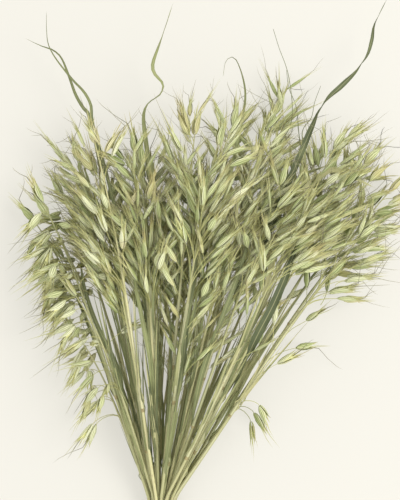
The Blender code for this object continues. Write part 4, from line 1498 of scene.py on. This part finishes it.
def glume_finish():
    finish = Finish("papery_glume", roughness=0.62, Specular_IOR_Level=0.35)
    colour = finish.graded(
        finish.patchy(finish.cloud(160), by=0.3, less=0.15),
        (0.0, paint(152, 163, 106)),
        (0.35, paint(186, 194, 141)),
        (0.7, paint(216, 219, 174)),
        (1.0, paint(240, 239, 213)),
    )
    ribs = vein_wave(finish, GLUME_VEINS)
    colour = finish.washed(colour, ribs, 0.75, paint(142, 152, 104), "MULTIPLY")
    colour = finish.washed(colour, off_middle(finish, 0.7, 1.0), 0.6, paint(232, 231, 202))
    colour = browned(finish, colour, paint(192, 172, 116))
    tip = finish.between(finish.mark("along"), 0.72, 1.0)
    colour = finish.washed(colour, tip, 0.6, paint(174, 166, 106))
    return finish.done(colour, ribs, distance=0.00012)


# %% [markdown]
# ## Florets, awns and branches
#
# These are small, so a few nodes are enough. A floret is green to straw and darkens to olive at its tip. An
# awn is dark grey-brown below its bend and a lighter grey above it. Bristles are green-yellow and dry brown
# in the same patches as the glumes. Branches are dull green to straw threads. One finish for all of them
# would be quicker, but the dark awns on the pale glumes are what gives an oat's head its drawing.

# %% The small pieces' finishes
def floret_finish():
    finish = Finish("floret", roughness=0.5)
    colour = finish.graded(finish.mark("tint"), (0.0, paint(176, 182, 113)), (1.0, paint(220, 219, 163)))
    tip = finish.between(finish.mark("along"), 0.55, 1.0)
    colour = finish.washed(colour, tip, 0.5, paint(166, 160, 98))
    return finish.done(colour, vein_wave(finish, 5), distance=0.00008)


def awn_finish():
    finish = Finish("awn", roughness=0.45)
    colour = finish.graded(
        finish.mark("along"),
        (0.0, paint(92, 84, 60)),
        (0.42, paint(96, 92, 68)),
        (0.60, paint(112, 108, 82)),
        (1.0, paint(142, 138, 110)),
    )
    return finish.done(colour, finish.cloud(2500), distance=0.00003)


def bristle_finish():
    finish = Finish("bristle", roughness=0.5)
    colour = finish.graded(finish.mark("along"), (0.0, paint(206, 211, 158)), (1.0, paint(178, 176, 120)))
    colour = browned(finish, colour, paint(182, 160, 108))
    return finish.done(colour, finish.cloud(2500), distance=0.00003)


def branch_finish():
    finish = Finish("branch_thread", roughness=0.6)
    colour = finish.graded(finish.mark("tint"), (0.0, paint(132, 137, 78)), (1.0, paint(184, 181, 122)))
    return finish.done(colour, finish.cloud(1800), distance=0.00004)


# %% [markdown]
# ## Straw
#
# A culm's skin has fine ribs along it and a soft shine. Its colour drifts along its length from sage green
# to straw yellow, with a few brown flecks. A sheath is the same straw, but paler and duller, with coarser
# veins, and a joint is browner. The ribs could be modelled, but a bump along the mark across is lighter and
# looks the same. In the photograph the culms differ from one to the next, and the tint mark does that. A
# blade has the same veins, a lighter middle fold, and a tone from dark green to straw.

# %% The culms' finishes
def culm_finish(name, ribs, greens, yellows, roughness):
    finish = Finish(name, roughness=roughness, Specular_IOR_Level=0.5)
    place = {"W": finish.mark("along"), "Scale": 9.0}
    drift = finish.put("ShaderNodeTexNoise", place, noise_dimensions="1D")
    colour = finish.graded(finish.patchy(drift, by=0.5, less=0.25), (0.0, greens), (1.0, yellows))
    rib = vein_wave(finish, ribs)
    colour = finish.washed(colour, rib, 0.35, paint(150, 146, 104), "MULTIPLY")
    fleck = finish.between(finish.cloud(420, detail=3.0), 0.60, 0.72)
    colour = finish.washed(colour, fleck, 0.5, paint(124, 104, 62))
    return finish.done(colour, rib, distance=0.0001)


def joint_finish():
    finish = Finish("culm_joint", roughness=0.6)
    colour = finish.graded(finish.cloud(600), (0.3, paint(128, 118, 78)), (0.7, paint(164, 152, 106)))
    return finish.done(colour, finish.cloud(1500), distance=0.00008)


# %% The blades' finish
def blade_finish():
    finish = Finish("leaf_blade", roughness=0.6)
    colour = finish.graded(
        finish.patchy(finish.cloud(60), by=0.35, less=0.17),
        (0.0, paint(76, 86, 52)),
        (0.45, paint(142, 149, 98)),
        (1.0, paint(208, 202, 152)),
    )
    vein = vein_wave(finish, 4.5)
    colour = finish.washed(colour, vein, 0.4, paint(132, 132, 88), "MULTIPLY")
    fold = off_middle(finish, 0.0, 0.14, 1.0, 0.0)
    colour = finish.washed(colour, fold, 0.4, paint(206, 200, 150))
    return finish.done(colour, vein, distance=0.00012)


finishes = {
    "glume": glume_finish(),
    "floret": floret_finish(),
    "bristle": bristle_finish(),
    "awn": awn_finish(),
    "branch": branch_finish(),
    "culm": culm_finish("straw", 4.0, paint(120, 130, 86), paint(214, 209, 158), 0.45),
    "sheath": culm_finish("leaf_sheath", 3.0, paint(138, 147, 104), paint(214, 210, 168), 0.6),
    "joint": joint_finish(),
    "blade": blade_finish(),
}
print(len(finishes), "finishes for the stems")

# %% [markdown]
# ## Grow the stems
#
# Now the parts come together. Each stem is one mesh with several finishes, because that is what a stem is:
# one grown piece. Many small objects would be easier to pick, but slower to draw and to export. The mesh
# replaces the solid of the same number and rides on the bundle's one body. In one place on the right the
# photograph shows a dark blade bare between bright gaps, so no spikelets are set there.

# %% Put each panicle together
TIDY_LEFT_OF = -0.65                     # left of this in the fan, spikelets hang apart and are broad
PARTED_AT = Vector((0.112, 0.226))       # where the heads part and show the dark blade
PARTED_OVER = 0.019
ON_RACHIS = 0.004                        # a branch with its root so near to the rachis starts on it
TONE = 0.42
TONE_LEFT = 0.16                         # more at the fan's left
TONE_UNEVEN = 0.15
TONE_LIMITS = (0.05, 0.95)
HANGING_PALER = 0.35                     # more for those that hang low at the left
HANGING_BELOW, HANGING_OVER = 0.30, 0.10
TINT_UNEVEN = 0.19
TINT_LIMITS = (0.05, 0.85)
SHORT_BLADE_TONES = (0, 0.9)


def kept_in(limits, value):
    return min(limits[1], max(limits[0], value))


def tone_of(culm, rng):
    """Paler at the fan's left edge, and by chance."""
    return kept_in(TONE_LIMITS, TONE + TONE_LEFT * smooth(-culm.fan) + rng.gauss(0, TONE_UNEVEN))


def tint_of(spikelet, culm, tone, rng):
    """The stem's tone, paler where the spikelet hangs low at the left edge, and by chance."""
    low = smooth((HANGING_BELOW - spikelet.tip.y) / HANGING_OVER)
    paler = HANGING_PALER * at_left(culm.fan, 0.45, 0.5) * low
    return kept_in(TINT_LIMITS, tone + paler + rng.gauss(0, TINT_UNEVEN))


def add_panicle(growing, number, culm, tone, rng):
    """All spikelets on branches of one stem."""
    course = np.array(culm.course()[1])
    at_edge = culm.fan < TIDY_LEFT_OF
    for index, spikelet in enumerate(panicles[number] + fine_panicles[number]):
        if (spikelet.joint.lerp(spikelet.tip, 0.5).xy - PARTED_AT).length < PARTED_OVER:
            continue
        widths = FULL_WIDTHS if index < len(panicles[number]) or at_edge else SLIM_WIDTHS
        root = np.array(spikelet.root)
        nearest = np.linalg.norm(course - root, axis=1).argmin()
        if np.linalg.norm(course[nearest] - root) < ON_RACHIS:
            spikelet = Spikelet(Vector(course[nearest]), spikelet.joint, spikelet.tip, spikelet.face)
        heading = unit(course[min(nearest + 1, len(course) - 1)] - course[nearest - 1])
        tint = tint_of(spikelet, culm, tone, rng)
        add_spikelet(growing, spikelet, heading, tint, rng, widths, tidy if culm.low or at_edge else awned)


# %% Put each stem together
def look_of(blade, rng):
    """(twist, tone): given for the blades that the solids have, and by chance for the short ones."""
    if blade in BLADES:
        return BLADE_LOOKS[BLADES.index(blade)]
    return blade.twist, rng.uniform(*SHORT_BLADE_TONES)


def grow_stem(number, culm, rng):
    growing = Growing()
    tone = tone_of(culm, rng)
    add_culm(growing, culm, tone, rng)
    add_spikelet(growing, last_spikelet(culm), None, tone, rng, TIP_WIDTHS, awned, branched=False)
    add_panicle(growing, number, culm, tone, rng)
    for owner, blade, points in blades + short_blades:
        if owner == number:
            turns, blade_tone = look_of(blade, rng)
            growing.add(laid(blade_skin(blade, points, turns)), "blade", blade_tone)
    for owner, line in threads:
        if owner == number:
            radii = np.linspace(THREAD_RADIUS, THREAD_TIP_RADIUS, len(line))
            growing.add(skin(round_rings(line, radii, 4)), "blade", THREAD_TONE)
    made = growing.finish(f"dried_oat_{number + 1:02d}", [finishes[name] for name in FINISHES])
    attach(made, "root")
    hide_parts(f"oat_{number + 1:02d}")
    return made


stems = [grow_stem(number, culm, fine_rng) for number, culm in enumerate(culms)]
counts = [len(stem.data.polygons) for stem in stems]
print(len(stems), "stems,", sum(counts), "triangles, at most", max(counts), "in one")

# %% [markdown]
# ## Twine
#
# The bundle is tied with jute twine: three plies twisted round each other, three turns round the culms, and a
# knot with two cut tails on top. Each ply is a tube along a helix, and the helix winds round the twine's
# middle line. That takes more points than one tube with a bump pattern, but the twist shows in the outline.

# %% The way of the twine
LOOP_STEPS = 96
CROSSES_FROM, CROSSES_OVER = 0.9, 0.1    # of a turn, where it steps over to the next one's place
WRAPPED_POINTS = 420
PLIES = 3
PLY_SIDES = 7
PLY_RADIUS = TWINE_DIAMETER / 2 * 0.47
PLY_OUT = TWINE_DIAMETER / 2 * 0.53
TWIST_LENGTH = 0.0085
TWINE_ACROSS = (0.02, 1.0, 0.03)         # the way from which the twist is counted


def loop_out(angle):
    """Distance from the bundle's middle to the tight loop round all the culms, at an angle."""
    furthest = max(c.seat * math.cos(angle) + (c.height(0) - loop_middle) * math.sin(angle) for c in culms)
    return furthest + CULM_RADIUS + GAP


loop_middle = (min(c.height(0) for c in culms) + max(c.height(0) for c in culms)) / 2


def turn_line(turn):
    """One turn, which steps over to the next one's place at its end, under the knot."""
    line = []
    for step in range(LOOP_STEPS + 1):
        angle = math.pi / 2 + 2 * math.pi * step / LOOP_STEPS
        y = (turn - 1) * TWINE_DIAMETER
        if turn < TWINE_TURNS - 1:
            y += TWINE_DIAMETER * smooth((step / LOOP_STEPS - CROSSES_FROM) / CROSSES_OVER)
        out = loop_out(angle) + TWINE_DIAMETER / 2
        line.append((out * math.cos(angle), y, loop_middle + out * math.sin(angle)))
    return line


def wrapped_line():
    line = turn_line(0)[:-1] + turn_line(1)[:-1] + turn_line(2)
    return eased(np.array(line)[::4], WRAPPED_POINTS)


def twisted(line):
    """The plies' skins, wound round a middle line."""
    line = np.asarray(line, float)
    walked = np.concatenate([[0], np.cumsum(np.linalg.norm(np.diff(line, axis=0), axis=1))])
    sideways, upright = frames_along(line, np.array(TWINE_ACROSS))
    radii = np.full(len(line), PLY_RADIUS)
    parts = []
    for ply in range(PLIES):
        angle = 2 * np.pi * (walked / TWIST_LENGTH + ply / PLIES)
        wound = line + PLY_OUT * (sideways * np.cos(angle)[:, None] + upright * np.sin(angle)[:, None])
        parts.append(skin(round_rings(wound, radii, PLY_SIDES, TWINE_ACROSS)))
    return parts


# %% The twine's finish
def twine_finish():
    finish = Finish("jute_twine", roughness=0.85)
    fibre = finish.cloud(2600, detail=3.0, stretch=(1.0, 0.6, 1.0))
    colour = finish.graded(
        fibre, (0.25, paint(118, 90, 56)), (0.5, paint(168, 136, 92)), (0.8, paint(206, 178, 132))
    )
    return finish.done(colour, fibre, distance=0.0003, strength=0.8)


FINISHES = FINISHES + ("twine",)
finishes["twine"] = twine_finish()


# %% Turns, knot and tails
KNOT_RAISED = 0.0012                     # over the turns
KNOT_TURNS = 2.4
KNOT_STEPS = 90
KNOT_WIDTH = 0.0066
KNOT_RADII = (0.0017, 0.0013)            # along the bundle, and up
TAIL_POINTS = 44
# (sideways, along, up) from the knot's middle, for the tail on the right
TAIL_WAY = (
    (0.0005, 0, 0), (0.0080, 0.002, 0.0012), (0.0165, 0.006, -0.0016), (0.0215, 0.011, -0.0075),
    (0.0240, 0.015, -0.0150),
)


def twine_piece(name, lines):
    growing = Growing()
    for line in lines:
        for part in twisted(line):
            growing.add(laid(part), "twine", 0.5)
    made = growing.finish(name, [finishes[finish] for finish in FINISHES])
    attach(made, "root")
    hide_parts("binding")
    return made


def knot_line(centre):
    """About two and a half tight turns over the crossing strands."""
    steps = np.linspace(0, 1, KNOT_STEPS)
    angle = 2 * np.pi * KNOT_TURNS * steps
    x = centre[0] + (steps - 0.5) * KNOT_WIDTH
    y, z = centre[1] + KNOT_RADII[0] * np.cos(angle), centre[2] + KNOT_RADII[1] * np.sin(angle)
    return np.stack([x, y, z], -1)


def tail_line(centre, way):
    """A cut end, to the right for way 1 and to the left for -1."""
    return eased([centre + np.array((way * x, way * y, z)) for x, y, z in TAIL_WAY], TAIL_POINTS)


knot_centre = np.array((0, 0, loop_middle + loop_out(math.pi / 2) + TWINE_DIAMETER + KNOT_RAISED))
twine_turns = twine_piece("twine_turns", [wrapped_line()])
twine_knot = twine_piece("twine_knot", [knot_line(knot_centre)])
twine_tails = twine_piece("twine_tails", [tail_line(knot_centre, way) for way in (-1, 1)])
print("twine triangles:", [len(piece.data.polygons) for piece in (twine_turns, twine_knot, twine_tails)])

# %% [markdown]
# ## Table, light and camera
#
# In the photograph all that shows behind the heads is bright, and so are the gaps between them. A plain white
# table under a lying bundle would be dark in those gaps, because the heads shade it. So the table glows
# softly from below, like a light table. One large soft lamp high on the right gives form and a faint shadow
# to the left, and bright surroundings fill the rest, as in a studio with white walls. A second lamp would
# only weaken that shadow. The camera looks straight down on the heads.

# %% The table
TABLE_HALF = 15.0
GLOW = 0.52
GLOW_COLOUR = (1.0, 0.985, 0.91, 1.0)
table_mesh = bpy.data.meshes.new("table")
table_mesh.from_pydata(
    [(x * TABLE_HALF, y * TABLE_HALF, 0) for x, y in ((-1, -1), (1, -1), (1, 1), (-1, 1))],
    [],
    [(0, 1, 2, 3)],
)
table = bpy.data.objects.new("table", table_mesh)
bpy.context.scene.collection.objects.link(table)
table_finish = Finish(
    "light_table", roughness=0.9, Specular_IOR_Level=0.1,
    Emission_Color=GLOW_COLOUR, Emission_Strength=GLOW,
)
unevenness = table_finish.cloud(0.6)
table_colour = table_finish.graded(unevenness, (0.3, paint(139, 137, 131)), (0.7, paint(143, 141, 135)))
table_mesh.materials.append(table_finish.done(table_colour))
print("table, m:", 2 * TABLE_HALF, "a side")

# %% Light
SURROUNDINGS = (1.0, 0.99, 0.97, 1.0)
SURROUNDINGS_STRENGTH = 1.2
LAMP_AT = Vector((1.3, 0.35, 1.9))
LAMP_AIM = Vector((0.03, 0.2, 0.05))     # the middle of the heads
LAMP_COLOUR = (1.0, 0.985, 0.955)
LAMP_SIZE = 1.1
LAMP_POWER = 31

world = bpy.data.worlds.new("studio")
world.use_nodes = True
background = world.node_tree.nodes["Background"]
background.inputs["Color"].default_value = SURROUNDINGS
background.inputs["Strength"].default_value = SURROUNDINGS_STRENGTH
bpy.context.scene.world = world

lamp = bpy.data.lights.new("key_lamp", "AREA")
lamp.size = LAMP_SIZE
lamp.energy = LAMP_POWER
lamp.color = LAMP_COLOUR
lamp_stand = bpy.data.objects.new("key_lamp", lamp)
lamp_stand.location = LAMP_AT
lamp_stand.rotation_euler = (LAMP_AIM - LAMP_AT).to_track_quat("-Z", "Y").to_euler()
bpy.context.scene.collection.objects.link(lamp_stand)
print("lamp,", round((LAMP_AIM - LAMP_AT).length, 2), "m from the heads")

# %% Camera
CAMERA_OVER = 1.15                       # above the middle of the heads
HEADS_HEIGHT = 0.060
SEEN_MIDDLE = (0.0357, 0.251)
SEEN_HALF_HEIGHT = 0.225                 # of the bundle, in the picture
camera = bpy.data.cameras.new("camera")
camera.angle = 2 * math.atan(SEEN_HALF_HEIGHT / CAMERA_OVER)
camera_stand = bpy.data.objects.new("camera", camera)
camera_stand.location = (*SEEN_MIDDLE, HEADS_HEIGHT + CAMERA_OVER)
bpy.context.scene.collection.objects.link(camera_stand)
bpy.context.scene.camera = camera_stand
bpy.context.scene.view_settings.view_transform = "Standard"
print("camera,", CAMERA_OVER, "m over the heads, seeing", 2 * SEEN_HALF_HEIGHT, "m of the bundle")
